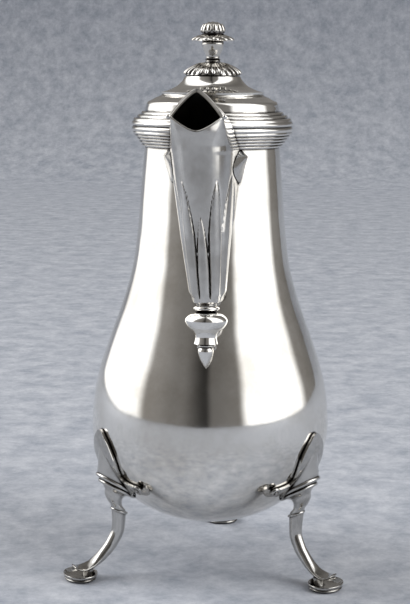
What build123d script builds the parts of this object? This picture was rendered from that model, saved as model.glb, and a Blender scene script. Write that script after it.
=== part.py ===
"""Tripod silver chocolate pot: pear-shaped body on three cabriole legs, a long fluted
beak with a turned drop, a reeded collar, a stepped hinged lid whose finial swivels
aside from the stirrer hole, and a scrolled wooden handle opposite the beak.

Millimetres, +Z up. The pot is modelled about its own axis with the beak towards -Y and
the handle towards +Y, then moved so that the origin is at the middle of its footprint box."""

from build123d import *
import os
from math import cos, pi, radians, sin, sqrt

# ---- clearances -------------------------------------------------------------------------
RUN_FIT = 0.05           # radial gap of a pin or rivet in a hole it turns in
SLIDE_GAP = 0.10         # gap under a piece that slides or rests on another body
SWING_GAP = 0.50         # gap between fixed and swinging pieces that only pass each other
BEZEL_GAP = 0.40         # gap between the lid's bezel and the neck

# ---- body -------------------------------------------------------------------------------
BELLY_R = 55.6           # widest outer radius
BELLY_Z = 69.0           # height of the widest ring above the table
BELLY_DROP = 46.5        # from the widest ring down to the lowest point
NECK_R = 31.0            # outer radius behind the collar
SHOULDER_R, SHOULDER_Z = NECK_R + 15.6, 111.3
WAIST_R, WAIST_Z = NECK_R + 5.6, 142.6
THROAT_R, THROAT_Z = NECK_R + 2.1, 173.8
BODY_WALL = 1.0
JOINT_Z = 208.1          # plane where the lid meets the body

# ---- reeded collar on the body and reeded rim on the lid ----------------------------------
REED_R = NECK_R + 6.0    # outer radius of the large reeds at the joint
REED_CREST = 0.40        # how far a reed stands out from its grooves
COLLAR_H = 9.3
COLLAR_BIG_REED = 2.3
COLLAR_REEDS = 5         # small reeds under the large one
COLLAR_END_R = NECK_R + 0.9   # outer radius of the lowest reed
RIM_H = 6.6
RIM_BIG_REED = 2.2
RIM_REEDS = 3
RIM_END_R = NECK_R + 0.6 # outer radius of the highest reed

# ---- lid ----------------------------------------------------------------------------------
LID_R = NECK_R - 0.1     # outer radius of the upright band on the rim
LID_WALL = 0.9
LID_BAND_H = 3.0         # height of the upright band
LID_BAND_LEAN = 0.6      # how far the band leans in on its way up
LID_BROW_W, LID_BROW_H = 1.8, 1.9    # rounded brow over the band
LID_SLOPE_R = LID_R - 6.4     # radius where the slope meets the bead
LID_SLOPE_H = 6.9        # height of that point above the rim
LID_BEAD_H = 1.9
LID_BEAD_W = 1.0         # how far the bead's top lies inside its foot
LID_LEDGE_R = 18.6       # foot of the crown
LID_LEDGE_H = 10.3
CROWN_R = 12.6           # edge of the flat crown
CROWN_Z = 230.5
CROWN_COVE = 1.1         # how far the rise to the crown is hollowed
BEZEL_WALL = 0.8
BEZEL_DEPTH = 4.6        # reach of the bezel below the joint

# ---- stirrer hole and swivelling finial ---------------------------------------------------
STIRRER_R = 8.0          # radius of the hole in the crown
BUSH_WALL = 1.3
BUSH_LEN = 3.0
SWIVEL_Y = 16.5          # rivet axis behind the pot's axis
RIVET_R = 1.45
RIVET_HEAD_R = 2.5
RIVET_HEAD_H = 1.0
BOSS_R = 3.1
PLATE_R = 12.2
PLATE_T = 0.8
CAP_R = 14.1             # over the gadrooned edge
CAP_H = 5.7              # from the plate's top to the baluster
CAP_WALL = 1.0
CAP_LOBES = 24
CAP_LOBE_R, CAP_LOBE_TIP_R = 1.6, 0.45   # gadroon at the edge and at the baluster
ROD_R = 1.2
BALUSTER_R = 4.1         # foot ring of the baluster
BALUSTER_RING_H = 1.2
BALUSTER_EDGE = 0.4      # how far the rings' edges lie inside their crests
BALUSTER_WAIST_R = 2.7
BALUSTER_CUP_R = 4.4
BALUSTER_H = 10.0
CALYX_R = 10.2
CALYX_H = 2.6
CALYX_PETALS = 12
PETAL_R, PETAL_TIP_R = 1.35, 0.8     # petal at the edge and at the bud
BUD_R = 6.2
BUD_H = 5.6
BUD_LOBES = 12
BUD_LOBE_R = 1.25        # lobe at the bud's foot

# ---- hinge and thumbpiece -----------------------------------------------------------------
KNUCKLE_R = 2.6
KNUCKLE_LEN = 4.0
KNUCKLES = 5             # three on the body, two on the lid
KNUCKLE_GAP = 0.15       # end gap between knuckles
HINGE_PIN_R = 1.2
LEAF_T = 1.2             # strip between the mouldings and the knuckles
THUMB_H = 22.0           # height of the thumbpiece above the hinge line
THUMB_W = 8.0
THUMB_SWEEP = 8.4        # how far its scroll stands out behind the large reeds

# ---- beak (spout) and its drop ------------------------------------------------------------
SPOUT_WALL = 1.0
SPOUT_FOOT_Z = 133.1     # underside of the beak, where the drop hangs
SPOUT_FOOT_HALF_W = 6.6
SPOUT_BASE_HALF_W = 15.8 # widest landing on the neck, under the collar
SPOUT_SOLE = 1.6         # how far the beak's sole is drawn in
LIP_REACH = 60.0         # nose of the lip from the pot's axis
SPOUT_FOOT_REACH = LIP_REACH - 4.7   # nose of the beak at its foot
LIP_Z = 207.7
CORNER_HALF_W = 11.5     # half-width of the mouth at its corners
CORNER_Z = 214.0
APEX_Z = 225.7
APEX_REACH = 49.5
APEX_ROUND = 3.0
SPOUT_ROWS = ((0.04, 0.0, 0.10), (0.26, 0.27, 0.33), (0.52, 0.52, 0.62), (0.76, 0.80, 0.86), (1.0, 0.98, 1.0))
#                          share of the height up to the collar, and of the growth from the foot's
#                          half-width to the corners' (nose) and to the landing's (landing)
NOSE_DEPTH = 4.2         # how far the nose stands before the beak's front corners
SPOUT_LEAN = 3.0         # degrees that the beak stands out of plumb, lip towards -X
SPOUT_LEAN_Z = 186.0     # height at which it is on the pot's own plane
FLUTES = 5
FLUTE_R = 1.9
FLUTE_SINK = 0.7         # how far a flute's axis lies inside the beak's face
FLUTE_TOP = 0.76         # share of the height up to the collar where the outer flutes end
FLUTE_STAGGER = 14.0     # the middle flute ends this much lower
WING_HALF_W = 18.4       # tips of the two landing lobes
WING_T = 0.9
WING_H = 15.5
WING_LAP = 3.5           # how far a wing runs in behind its cheek
POUR_HALF_W = 5.0        # window in the body wall behind the beak
POUR_LOW_Z = 150.0
POUR_HIGH_Z = 190.0
DROP_REACH = 49.5        # drop's axis at the beak's foot
DROP_TILT = 5.0          # degrees that its tip swings out
DROP_R = 9.4
DROP_RING_R = 5.8
DROP_NECK_R = 5.0
DROP_BUD_R = 3.5
DROP_LEN = 28.0
DROP_GROOVE = 1.5        # depth of the grooves beside its rings
DROP_LEVELS = (0.03, 0.125, 0.26, 0.47, 0.53, 0.63, 0.67, 0.74, 1.0)     # shares of its length

# ---- legs ---------------------------------------------------------------------------------
LEGS = ("rear", "left", "right")
SHIELD_T = 1.8           # thickness of the shield on the belly
SHIELD_TOP_Z = 69.0
SHIELD_HALF_W = 10.2
SHIELD_LOBE_HALF_W = 20.0
SHIELD_LOBE_Z = 45.5
SHIELD_LOBE_R = 2.2      # radius of a lobe's rounded end
PEARL_R = 1.1
LEG_LEAN = 3.4           # degrees round the pot by which a leg's top stands off its foot
KNEE_Z = 44.3
KNEE_STAND = 1.392       # how far the knee moulding's centre stands out from the belly
KNEE_REACH = BELLY_R * sqrt(1 - ((BELLY_Z - KNEE_Z) / BELLY_DROP) ** 2) + KNEE_STAND
KNEE_HALF_W = 9.8
KNEE_HALF_D = 11.1
KNEE_TILT = 31.0         # degrees that the knee moulding rises outwards
NECK_LEG_REACH, NECK_LEG_Z = KNEE_REACH + 1.7, 38.0
KNEE_RIB_T = 1.5         # thickness of each moulding round the knee and the ankle
ANKLE_REACH, ANKLE_Z = KNEE_REACH - 1.1, 31.4
ANKLE_TILT = 23.0
SHAFT_R = 2.6
ANKLE_TO_FOOT = 18.0     # from the ankle's axis out to the middle of the pad
FOOT_REACH = ANKLE_REACH + ANKLE_TO_FOOT
SHAFT_ROWS = ((0.02, 0.69, 1.0, 1.0, 16), (0.20, 0.48, 0.97, 0.97, 36), (0.46, 0.315, 1.0, 0.92, 52),
              (0.74, 0.215, 1.31, 0.62, 70), (0.97, 0.20, 1.6, 0.38, 98), (1.17, 0.28, 0.72, 0.21, 125))
#                          share of the way out to the pad, share of the ankle's height, half-width
#                          and half-depth in shaft radii, and degrees of tilt
PAD_LEN = 15.6           # radial
PAD_W = 18.0             # across
PAD_H = 3.2
PAD_T = 1.1
PAD_FLAT = 0.72          # share of the pad that lies flat on the table

# ---- handle -------------------------------------------------------------------------------
GRIP_X = 6.0             # half-thickness of the grip across the pot
GRIP_R = 6.8             # half-thickness in the plane of the scroll
GRIP_SECTIONS = 13
TENON_R = 5.2
TENON_LEN = 11.0
SOCKET_WALL = 1.4
SOCKET_LEN = 15.0
SOCKET_RING = 1.1        # how far the moulded ring stands out from the socket
SOCKET_RING_H = 2.4
SOCKET_FLANGE = 1.6      # width and thickness of the flange at the socket's root
UPPER_SOCKET_Z = 180.0
UPPER_SOCKET_TILT = 14.0 # degrees above level
LOWER_SOCKET_Z = 96.0
LOWER_SOCKET_TILT = 38.0
SOCKET_PIN_Z = SOCKET_LEN - 0.55 * TENON_LEN
HANDLE_REACH = 100.0     # outermost point of the grip from the pot's axis
GRIP_BENDS = ((0.30, 0.04), (0.70, -0.01), (0.95, -0.22), (0.98, -0.50), (0.55, -0.80))
#                          share of the way out from the nearer socket (the upper one for the
#                          first four), and share of the grip's height below the upper socket
SOCKET_PIN_R = 1.0

# ---- placing ------------------------------------------------------------------------------
ORIGIN_SHIFT = Pos(0, (LIP_REACH - HANDLE_REACH) / 2, 0)
LID_FOOT_Z = JOINT_Z + RIM_H
HINGE_Y = REED_R + LEAF_T + SLIDE_GAP + KNUCKLE_R
PLATE_Z = CROWN_Z + SLIDE_GAP
CAP_Z = PLATE_Z + PLATE_T


def put(name, shape):
    """Writes one sub-part, moved so that the origin is under the middle of the pot."""
    placed = ORIGIN_SHIFT * shape
    export_step(placed, f"parts/{name}.step")


def turned(*edges):
    """A solid turned about the pot's axis from a closed outline in the XZ plane."""
    return revolve(make_face(Wire.combine(list(edges))[0]), Axis.Z)


def half_plane(points):
    return Polyline(*[(r, 0, z) for r, z in points])


# ---- body ---------------------------------------------------------------------------------
def belly_arc(inset=0.0):
    """Lower quarter of the belly's meridian, an ellipse, from the bottom to the widest ring."""
    a, b = BELLY_R - inset, BELLY_DROP - inset
    return Plane.XZ * EllipticalCenterArc((0, BELLY_Z), a, b, start_angle=270, arc_size=90)


def shoulder_line(inset=0.0):
    """Meridian from the widest ring up to the neck."""
    rings = [(BELLY_R, BELLY_Z), (SHOULDER_R, SHOULDER_Z), (WAIST_R, WAIST_Z),
             (THROAT_R, THROAT_Z), (NECK_R, JOINT_Z - COLLAR_H)]
    points = [(r - inset, 0, z) for r, z in rings]
    return Spline(*points, tangents=[(0, 0, 1), (-0.06, 0, 1)])


def body_solid(inset=0.0, top=JOINT_Z):
    """Solid of the body's outer form, drawn in by inset and cut level at top."""
    low, side = belly_arc(inset), shoulder_line(inset)
    foot, head = low @ 0, side @ 1
    close = Polyline(head, (head.X, 0, top), (0, 0, top), (0, 0, foot.Z))
    return turned(low, side, close)


def make_body(outer):
    inner = body_solid(BODY_WALL)
    window = Pos(0, -NECK_R, 0) * pour_window()
    return outer - inner - window


def pour_window():
    """Arched opening through the front wall, in the XZ plane."""
    arch = Pos(0, POUR_HIGH_Z - POUR_HALF_W) * Circle(POUR_HALF_W)
    sill = Pos(0, POUR_LOW_Z + POUR_HALF_W) * Circle(POUR_HALF_W)
    middle = Pos(0, (POUR_LOW_Z + POUR_HIGH_Z) / 2)
    slot = arch + sill + middle * Rectangle(2 * POUR_HALF_W, POUR_HIGH_Z - POUR_LOW_Z - 2 * POUR_HALF_W)
    return extrude(Plane.XZ * slot, amount=NECK_R / 2, both=True)


# ---- reeded rings -------------------------------------------------------------------------
def reeded_ring(bore, rise, big_reed, count, height, end_r):
    """A ring of half-round reeds: the large one at the joint, small ones tapering to end_r.
    rise is +1 for the ring above the joint and -1 for the one below it."""
    small = (height - big_reed) / count
    start = JOINT_Z + (SLIDE_GAP if rise > 0 else 0)
    levels = [0, big_reed] + [big_reed + small * (i + 1) for i in range(count)]
    taper = (REED_R - end_r) / count
    crests = [REED_R] + [REED_R - taper * (i + 0.6) for i in range(count)]
    levels[-1] = height - (SLIDE_GAP if rise > 0 else 0)
    edges, low_r = [], REED_R - REED_CREST
    for i, crest in enumerate(crests):
        high_r = min(low_r, crests[i + 1] - REED_CREST if i + 1 < len(crests) else end_r - REED_CREST)
        z0, z1 = start + rise * levels[i], start + rise * levels[i + 1]
        middle = (crest, 0, (z0 + z1) / 2)
        edges.append(ThreePointArc((low_r, 0, z0), middle, (high_r, 0, z1)))
        low_r = high_r
    top, foot = edges[-1] @ 1, edges[0] @ 0
    edges.append(Polyline(top, (bore, 0, top.Z), (bore, 0, foot.Z), foot))
    return turned(*edges)


def crest_form(rise, big_reed, height, end_r, over):
    """Plain form standing over the crests of a reeded ring, against which other pieces are fitted."""
    big, small = REED_R + over, end_r + over
    return turned(half_plane([(0, JOINT_Z), (big, JOINT_Z), (big, JOINT_Z + rise * big_reed),
                              (small, JOINT_Z + rise * height), (0, JOINT_Z + rise * height), (0, JOINT_Z)]))


# ---- lid ----------------------------------------------------------------------------------
def lid_line(inset=0.0):
    """Outer meridian of the lid from its foot to the crown, drawn in by inset."""
    def at(r, h):
        return (r - inset, 0, LID_FOOT_Z + h - inset)
    foot = (LID_R - inset, 0, LID_FOOT_Z)
    band_r = LID_R - LID_BAND_LEAN
    band = at(band_r, LID_BAND_H)
    brow = at(band_r - LID_BROW_W, LID_BAND_H + LID_BROW_H)
    slope = at(LID_SLOPE_R, LID_SLOPE_H)
    bead_mid = at(LID_SLOPE_R + LID_BEAD_W / 2, LID_SLOPE_H + 0.55 * LID_BEAD_H)
    bead_top = at(LID_SLOPE_R - LID_BEAD_W, LID_SLOPE_H + LID_BEAD_H)
    ledge = at(LID_LEDGE_R, LID_LEDGE_H)
    crown = (CROWN_R - inset, 0, CROWN_Z - inset)
    cove_mid = ((ledge[0] + crown[0]) / 2 - CROWN_COVE, 0, (ledge[2] + crown[2]) / 2 - CROWN_COVE)
    bulge = 0.2 * LID_BROW_W
    brow_mid = ((band[0] + brow[0]) / 2 + bulge, 0, (band[2] + brow[2]) / 2 + bulge)
    return [Line(foot, band), ThreePointArc(band, brow_mid, brow), Line(brow, slope),
            ThreePointArc(slope, bead_mid, bead_top), Line(bead_top, ledge),
            ThreePointArc(ledge, cove_mid, crown)]


def lid_solid(inset=0.0):
    edges = lid_line(inset)
    head, foot = edges[-1] @ 1, edges[0] @ 0
    return turned(*edges, Polyline(head, (0, 0, head.Z), (0, 0, foot.Z), foot))


def make_lid():
    outer = lid_solid()
    shell = outer - lid_solid(LID_WALL)
    shell -= Cylinder(STIRRER_R + BUSH_WALL, 4 * CROWN_Z)
    shell -= Pos(0, SWIVEL_Y, 0) * Cylinder(RIVET_R + RUN_FIT, 4 * CROWN_Z)
    return shell, outer


def make_bezel():
    outer_r = NECK_R - BODY_WALL - BEZEL_GAP
    return ring(outer_r - BEZEL_WALL, outer_r, JOINT_Z - BEZEL_DEPTH, LID_FOOT_Z)


def ring(inner_r, outer_r, z0, z1):
    return Pos(0, 0, (z0 + z1) / 2) * (Cylinder(outer_r, z1 - z0) - Cylinder(inner_r, z1 - z0))


def disc(radius, z0, z1):
    return Pos(0, 0, (z0 + z1) / 2) * Cylinder(radius, z1 - z0)


# ---- stirrer hole and finial --------------------------------------------------------------
def make_swivel_parts(lid_outer):
    """Bush of the stirrer hole, boss for the rivet and the rivet itself, headed at both ends."""
    at_rivet = Pos(0, SWIVEL_Y, 0)
    bush = ring(STIRRER_R, STIRRER_R + BUSH_WALL, CROWN_Z - BUSH_LEN, CROWN_Z)
    boss = at_rivet * ring(RIVET_R + RUN_FIT, BOSS_R, LID_FOOT_Z, CROWN_Z) - lid_outer
    head_z = CAP_Z + SLIDE_GAP
    tail_z = LID_FOOT_Z + LID_LEDGE_H - 2.4 * LID_WALL
    head = disc(RIVET_HEAD_R, head_z, head_z + RIVET_HEAD_H)
    shank = disc(RIVET_R, tail_z, head_z + RIVET_HEAD_H)
    tail = at_rivet * disc(RIVET_HEAD_R, tail_z, CROWN_Z) & lid_solid(LID_WALL)
    return bush, boss, at_rivet * shank.fuse(head) + tail


def plate_outline():
    """Round plate with an ear drawn out to the rivet."""
    return make_hull(Circle(PLATE_R).edges() + (Pos(0, SWIVEL_Y) * Circle(BOSS_R)).edges())


def make_finial_plate():
    plate = extrude(Pos(0, 0, PLATE_Z) * plate_outline(), amount=PLATE_T)
    plate -= Pos(0, SWIVEL_Y, 0) * Cylinder(RIVET_R + RUN_FIT, 4 * CROWN_Z)
    return plate - finial_rod()


def finial_rod():
    """Screwed rod with a flush countersunk foot in the plate, holding the finial's turnings."""
    top = CAP_Z + CAP_H + BALUSTER_H + CALYX_H + 0.4 * BUD_H
    foot = Pos(0, 0, PLATE_Z + PLATE_T / 2) * Cone(2 * ROD_R, ROD_R, PLATE_T)
    return disc(ROD_R, PLATE_Z, top) + foot


def teardrops(start, end, small, large, count):
    """Copies around the axis of one long drop-shaped lobe, a cone between two balls; start
    and end are (radius, z). The first lobe stands half a pitch off the front."""
    first, last = Vector(0, -start[0], start[1]), Vector(0, -end[0], end[1])
    length = (last - first).length
    lift = (large - small) / length
    flank = sqrt(1 - lift ** 2)
    low, high = (small * flank, 0, -small * lift), (large * flank, 0, length - large * lift)
    outline = [ThreePointArc((0, 0, -small), (0.6 * small, 0, -0.8 * small), low), Line(low, high),
               ThreePointArc(high, (0.8 * large, 0, length + 0.6 * large), (0, 0, length + large)),
               Line((0, 0, length + large), (0, 0, -small))]
    one = Plane(origin=first, x_dir=(1, 0, 0), z_dir=last - first) * turned(*outline)
    return [Rot(Z=(i + 0.5) * 360 / count) * one for i in range(count)]


def make_finial_cap():
    """Hollow domed cap with a gadroon on every share of its edge, over the plate."""
    edge, z = CAP_R - CAP_LOBE_R, CAP_Z
    top = z + CAP_H
    dome = turned(ThreePointArc((edge, 0, z), (edge - 0.6 * CAP_H, 0, z + 0.6 * CAP_H), (BALUSTER_R, 0, top)),
                  half_plane([(BALUSTER_R, top), (0, top), (0, PLATE_Z), (edge, PLATE_Z), (edge, z)]))
    plate_room = disc(PLATE_R + RUN_FIT, PLATE_Z - PLATE_T, z)
    hollow = Pos(0, 0, z) * Cone(edge - 2 * CAP_WALL, BALUSTER_R - 1.2 * CAP_WALL, CAP_H - CAP_WALL,
                                 align=(Align.CENTER, Align.CENTER, Align.MIN))
    room = plate_room.fuse(hollow, disc(2 * CAP_R, z - CAP_H, PLATE_Z))
    tip = (BALUSTER_R + CAP_LOBE_TIP_R, top - 2 * CAP_LOBE_TIP_R)
    ribs = teardrops(tip, (edge, z + 0.56 * CAP_LOBE_R), CAP_LOBE_TIP_R, CAP_LOBE_R, CAP_LOBES)
    cap = (dome - room).fuse(*[rib - room for rib in ribs])
    cap -= extrude(Pos(0, 0, PLATE_Z - PLATE_T) * plate_outline(), amount=2 * PLATE_T)
    cap -= Pos(0, SWIVEL_Y, 0) * disc(BOSS_R + SWING_GAP, PLATE_Z - 1, CAP_Z + 2 * RIVET_HEAD_H)
    return cap - disc(ROD_R + RUN_FIT, z, top + 1)


def make_baluster():
    z0, ring_z = CAP_Z + CAP_H, CAP_Z + CAP_H + BALUSTER_RING_H
    top = z0 + BALUSTER_H
    foot_r, cup_edge_r = BALUSTER_R - BALUSTER_EDGE, BALUSTER_CUP_R - BALUSTER_EDGE
    outline = [ThreePointArc((foot_r, 0, z0), (BALUSTER_R, 0, (z0 + ring_z) / 2), (foot_r, 0, ring_z)),
               Line((foot_r, 0, ring_z), (BALUSTER_WAIST_R, 0, ring_z)),
               Spline((BALUSTER_WAIST_R, 0, ring_z), (BALUSTER_WAIST_R, 0, ring_z + 0.11 * BALUSTER_H),
                      (BALUSTER_CUP_R, 0, z0 + 0.76 * BALUSTER_H), (cup_edge_r, 0, top)),
               Polyline((cup_edge_r, 0, top), (0, 0, top), (0, 0, z0), (foot_r, 0, z0))]
    return turned(*outline) - Cylinder(ROD_R + RUN_FIT, 4 * CROWN_Z)


def make_calyx():
    """Drooping collar of petals between the baluster and the bud."""
    z0 = CAP_Z + CAP_H + BALUSTER_H
    top_r, core_r, edge = BUD_R - PETAL_R, BUD_R - 0.6 * PETAL_R, CALYX_R - PETAL_R
    low, high, top = z0 - 0.4 * PETAL_R, z0 + 0.4 * PETAL_R, z0 + CALYX_H
    skirt = turned(half_plane([(0, top), (0, z0), (core_r, z0), (edge, low), (edge, high)]),
                   Spline((edge, 0, high), (core_r + 0.9 * PETAL_R, 0, z0 + 0.73 * CALYX_H), (top_r, 0, top)),
                   half_plane([(top_r, top), (0, top)]))
    petals = teardrops((top_r, z0 + 0.58 * CALYX_H), (edge, z0), PETAL_TIP_R, PETAL_R, CALYX_PETALS)
    return skirt.fuse(*petals) - Cylinder(ROD_R + RUN_FIT, 4 * CROWN_Z)


def make_bud():
    """Small gadrooned bud, closed by a low dome."""
    z0 = CAP_Z + CAP_H + BALUSTER_H + CALYX_H
    base, top_r, neck_z = BUD_R - 1.3 * BUD_LOBE_R, 0.52 * BUD_R, z0 + 0.72 * BUD_H
    core = turned(Spline((base, 0, z0), (1.09 * base, 0, z0 + 0.3 * BUD_H), (top_r, 0, neck_z)),
                  ThreePointArc((top_r, 0, neck_z), (0.6 * top_r, 0, z0 + 0.93 * BUD_H), (0, 0, z0 + BUD_H)),
                  half_plane([(0, z0 + BUD_H), (0, z0), (base, z0)]))
    start, end = (base, z0 + 0.16 * BUD_H), (top_r, z0 + 0.62 * BUD_H)
    lobes = teardrops(start, end, BUD_LOBE_R, 0.76 * BUD_LOBE_R, BUD_LOBES)
    bud = core.fuse(*lobes) - disc(2 * BUD_R, z0 - BUD_H, z0)
    return bud - disc(ROD_R + RUN_FIT, z0 - BUD_H, z0 + 0.5 * BUD_H)


# ---- hinge and thumbpiece -----------------------------------------------------------------
def knuckle(index):
    pitch = KNUCKLE_LEN + KNUCKLE_GAP
    x = (index - (KNUCKLES - 1) / 2) * pitch
    return Pos(x, HINGE_Y, JOINT_Z) * Rot(Y=90) * Cylinder(KNUCKLE_R, KNUCKLE_LEN)


def hinge_bore(extra=RUN_FIT):
    length = KNUCKLES * (KNUCKLE_LEN + KNUCKLE_GAP)
    return Pos(0, HINGE_Y, JOINT_Z) * Rot(Y=90) * Cylinder(HINGE_PIN_R + extra, length)


def leaf(index, z0, z1):
    """Web from a knuckle into the moulding that carries it."""
    pitch = KNUCKLE_LEN + KNUCKLE_GAP
    x = (index - (KNUCKLES - 1) / 2) * pitch
    depth = HINGE_Y - NECK_R
    return Pos(x, HINGE_Y - depth / 2, (z0 + z1) / 2) * Box(KNUCKLE_LEN, depth, z1 - z0)


def make_hinge():
    """Five knuckles on two strips: the odd ones carry the lid, the even ones the collar's side."""
    moulding = disc(REED_R + RUN_FIT, JOINT_Z - 2 * COLLAR_BIG_REED, LID_FOOT_Z)
    strip_y = HINGE_Y - KNUCKLE_R - SLIDE_GAP
    length = KNUCKLES * KNUCKLE_LEN + (KNUCKLES - 1) * KNUCKLE_GAP
    leaves = []
    for parity, z0, z1 in ((0, JOINT_Z - COLLAR_BIG_REED, JOINT_Z),
                           (1, JOINT_Z + SLIDE_GAP, JOINT_Z + RIM_BIG_REED)):
        odd = [i for i in range(KNUCKLES) if i % 2 == parity]
        span = length if parity == 0 else length - 2 * (KNUCKLE_LEN + KNUCKLE_GAP)
        strip = Pos(0, (NECK_R + strip_y) / 2, (z0 + z1) / 2) * Box(span, strip_y - NECK_R, z1 - z0)
        pieces = [knuckle(i) for i in odd] + [leaf(i, z0, z1) for i in odd]
        leaves.append(strip.fuse(*pieces) - moulding - hinge_bore())
    return leaves


def make_thumbpiece():
    """Scrolled thumbpiece soldered to the back of the lid's rim, above the hinge."""
    foot_z, tip_z = JOINT_Z + RIM_BIG_REED + SWING_GAP, JOINT_Z + THUMB_H
    heel, toe = (REED_R + SWING_GAP, foot_z), (LID_R + SWING_GAP, LID_FOOT_Z + 0.8 * LID_BAND_H)

    def at(out, down):
        return (REED_R + out * THUMB_SWEEP, tip_z - down * THUMB_H)
    nose = at(0.70, 0)
    back = Spline(heel, at(0.21, 0.50), at(0.64, 0.23), at(1.0, 0.10), at(0.95, 0.02), nose)
    front = Spline(nose, at(0.36, 0.12), at(-0.05, 0.36), toe)
    close = Polyline(toe, (toe[0], foot_z), heel)
    blade = extrude(Plane.YZ * make_face(Wire.combine([back, front, close])[0]), amount=THUMB_W / 2, both=True)
    return blade - crest_form(1, RIM_BIG_REED, RIM_H, RIM_END_R, 2.2 * REED_CREST)


# ---- beak (spout) ---------------------------------------------------------------------------
def beak_section(z, half_w, base_half_w, reach, depth, inset=0.0):
    """Level section of the beak: rounded nose, front corners and two cheeks back into the body."""
    half_w, base_half_w, reach = half_w - inset, base_half_w - inset, reach - inset
    back = -0.8 * NECK_R
    nose = ThreePointArc((-half_w, -reach + depth), (0, -reach), (half_w, -reach + depth))
    rest = Polyline((half_w, -reach + depth), (base_half_w, back), (-base_half_w, back),
                    (-half_w, -reach + depth))
    return Pos(0, 0, z) * make_face(Wire.combine([nose, rest])[0])


def beak_solid(inset=0.0):
    """The beak's outer form before it is fitted to the body, drawn in by inset."""
    foot, top = SPOUT_FOOT_Z + inset, APEX_Z + APEX_ROUND
    rise = JOINT_Z - COLLAR_H - SPOUT_FOOT_Z
    rows = []
    for share, nose_grow, base_grow in SPOUT_ROWS:
        reach = SPOUT_FOOT_REACH + share * (LIP_REACH - SPOUT_FOOT_REACH)
        half_w = SPOUT_FOOT_HALF_W + nose_grow * (CORNER_HALF_W - SPOUT_FOOT_HALF_W)
        base_half_w = SPOUT_FOOT_HALF_W + base_grow * (SPOUT_BASE_HALF_W - SPOUT_FOOT_HALF_W)
        z = SPOUT_FOOT_Z + share * rise
        rows.append(beak_section(z, half_w, base_half_w, reach, NOSE_DEPTH, inset))
    sole_w, sole_reach = SPOUT_FOOT_HALF_W - SPOUT_SOLE, SPOUT_FOOT_REACH - SPOUT_SOLE
    sole = beak_section(foot, sole_w, sole_w, sole_reach, 0.8 * NOSE_DEPTH, inset)
    low = loft(rows) + loft([sole, rows[0]], ruled=True)
    sides = [(JOINT_Z, 0.6 * (SPOUT_BASE_HALF_W - CORNER_HALF_W)), (CORNER_Z, 0.2), (top, 0.2)]
    high = loft(rows[-1:] + [beak_section(z, CORNER_HALF_W, CORNER_HALF_W + wide, LIP_REACH, NOSE_DEPTH, inset)
                             for z, wide in sides], ruled=True)
    return (low + high) & roof_prism(inset) - behind_back_wall(inset)


def roof_prism(inset=0.0):
    """Front outline of the beak, with the roof's two slopes and its rounded ridge."""
    drop = inset * 1.4
    low = SPOUT_FOOT_Z - 1
    wide = 2 * SPOUT_BASE_HALF_W
    out = CORNER_HALF_W + (CORNER_Z - JOINT_Z)
    eaves, ridge_z = CORNER_Z - drop, APEX_Z + APEX_ROUND / 3 - drop
    half = [(wide, low), (wide, JOINT_Z - drop), (out, JOINT_Z - drop), (CORNER_HALF_W, eaves)]
    roof = Polygon(*half, (0, ridge_z), *[(-x, z) for x, z in reversed(half)], align=None)
    ridge = roof.vertices().sort_by(Axis.Y)[-1]
    roof = fillet(ridge, max(APEX_ROUND - inset, 0.5))
    return extrude(Plane.XZ * roof, amount=2 * LIP_REACH)


def behind_back_wall(inset=0.0):
    """Everything behind the sloping back wall that closes the beak above the collar."""
    foot_y = -(REED_R + SWING_GAP + inset)
    top_y = -(APEX_REACH - 1 + inset)
    wall = Polygon((foot_y, JOINT_Z), (top_y, APEX_Z), (top_y, 2 * APEX_Z), (0, 2 * APEX_Z), (0, JOINT_Z),
                   align=None)
    wedge = extrude(Plane.YZ * wall, amount=2 * LIP_REACH, both=True)
    round_low = JOINT_Z - 1.5 * inset
    return wedge + upright(disc(REED_R + SWING_GAP + inset, round_low, 2 * APEX_Z))


def mouth_cut():
    """The space in front of the mouth's plane, from the lip up past the apex."""
    high = APEX_Z + APEX_ROUND
    front = Polygon((-LIP_REACH, LIP_Z), (-mouth_reach(high), high), (-3 * LIP_REACH, high),
                    (-3 * LIP_REACH, LIP_Z), align=None)
    return extrude(Plane.YZ * front, amount=2 * LIP_REACH, both=True)


def flutes():
    """Convex lancet-tipped flutes up the front of the beak, fanned from its foot."""
    foot = SPOUT_FOOT_Z + FLUTE_R
    full = JOINT_Z - COLLAR_H - foot
    made = []
    for i in range(FLUTES):
        share = 2 * i / (FLUTES - 1) - 1
        top = foot + FLUTE_TOP * full - FLUTE_STAGGER * (1 - abs(share))
        grow = (top - foot) / full
        spread = SPOUT_FOOT_HALF_W - FLUTE_SINK + grow * (CORNER_HALF_W - SPOUT_FOOT_HALF_W)
        back = 0.85 * NOSE_DEPTH * share ** 2
        reach = SPOUT_FOOT_REACH + grow * (LIP_REACH - SPOUT_FOOT_REACH)
        start = Vector(share * (SPOUT_FOOT_HALF_W - FLUTE_SINK), -SPOUT_FOOT_REACH + back + FLUTE_SINK, foot)
        tip = Vector(share * spread, -reach + back + 0.5 * FLUTE_SINK, top)
        length = (tip - start).length
        r = FLUTE_R
        round_end = ThreePointArc((0, 0, -r), (r * sin(pi / 4), 0, -r * cos(pi / 4)), (r, 0, 0))
        flank = Spline((r, 0, 0), (r, 0, 0.55 * length), (0, 0, length), tangents=[(0, 0, 1), (-0.12, 0, 1)])
        outline = [round_end, flank, Line((0, 0, length), (0, 0, -r))]
        made.append(Plane(origin=start, x_dir=(1, 0, 0), z_dir=tip - start) * turned(*outline))
    return made


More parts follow.
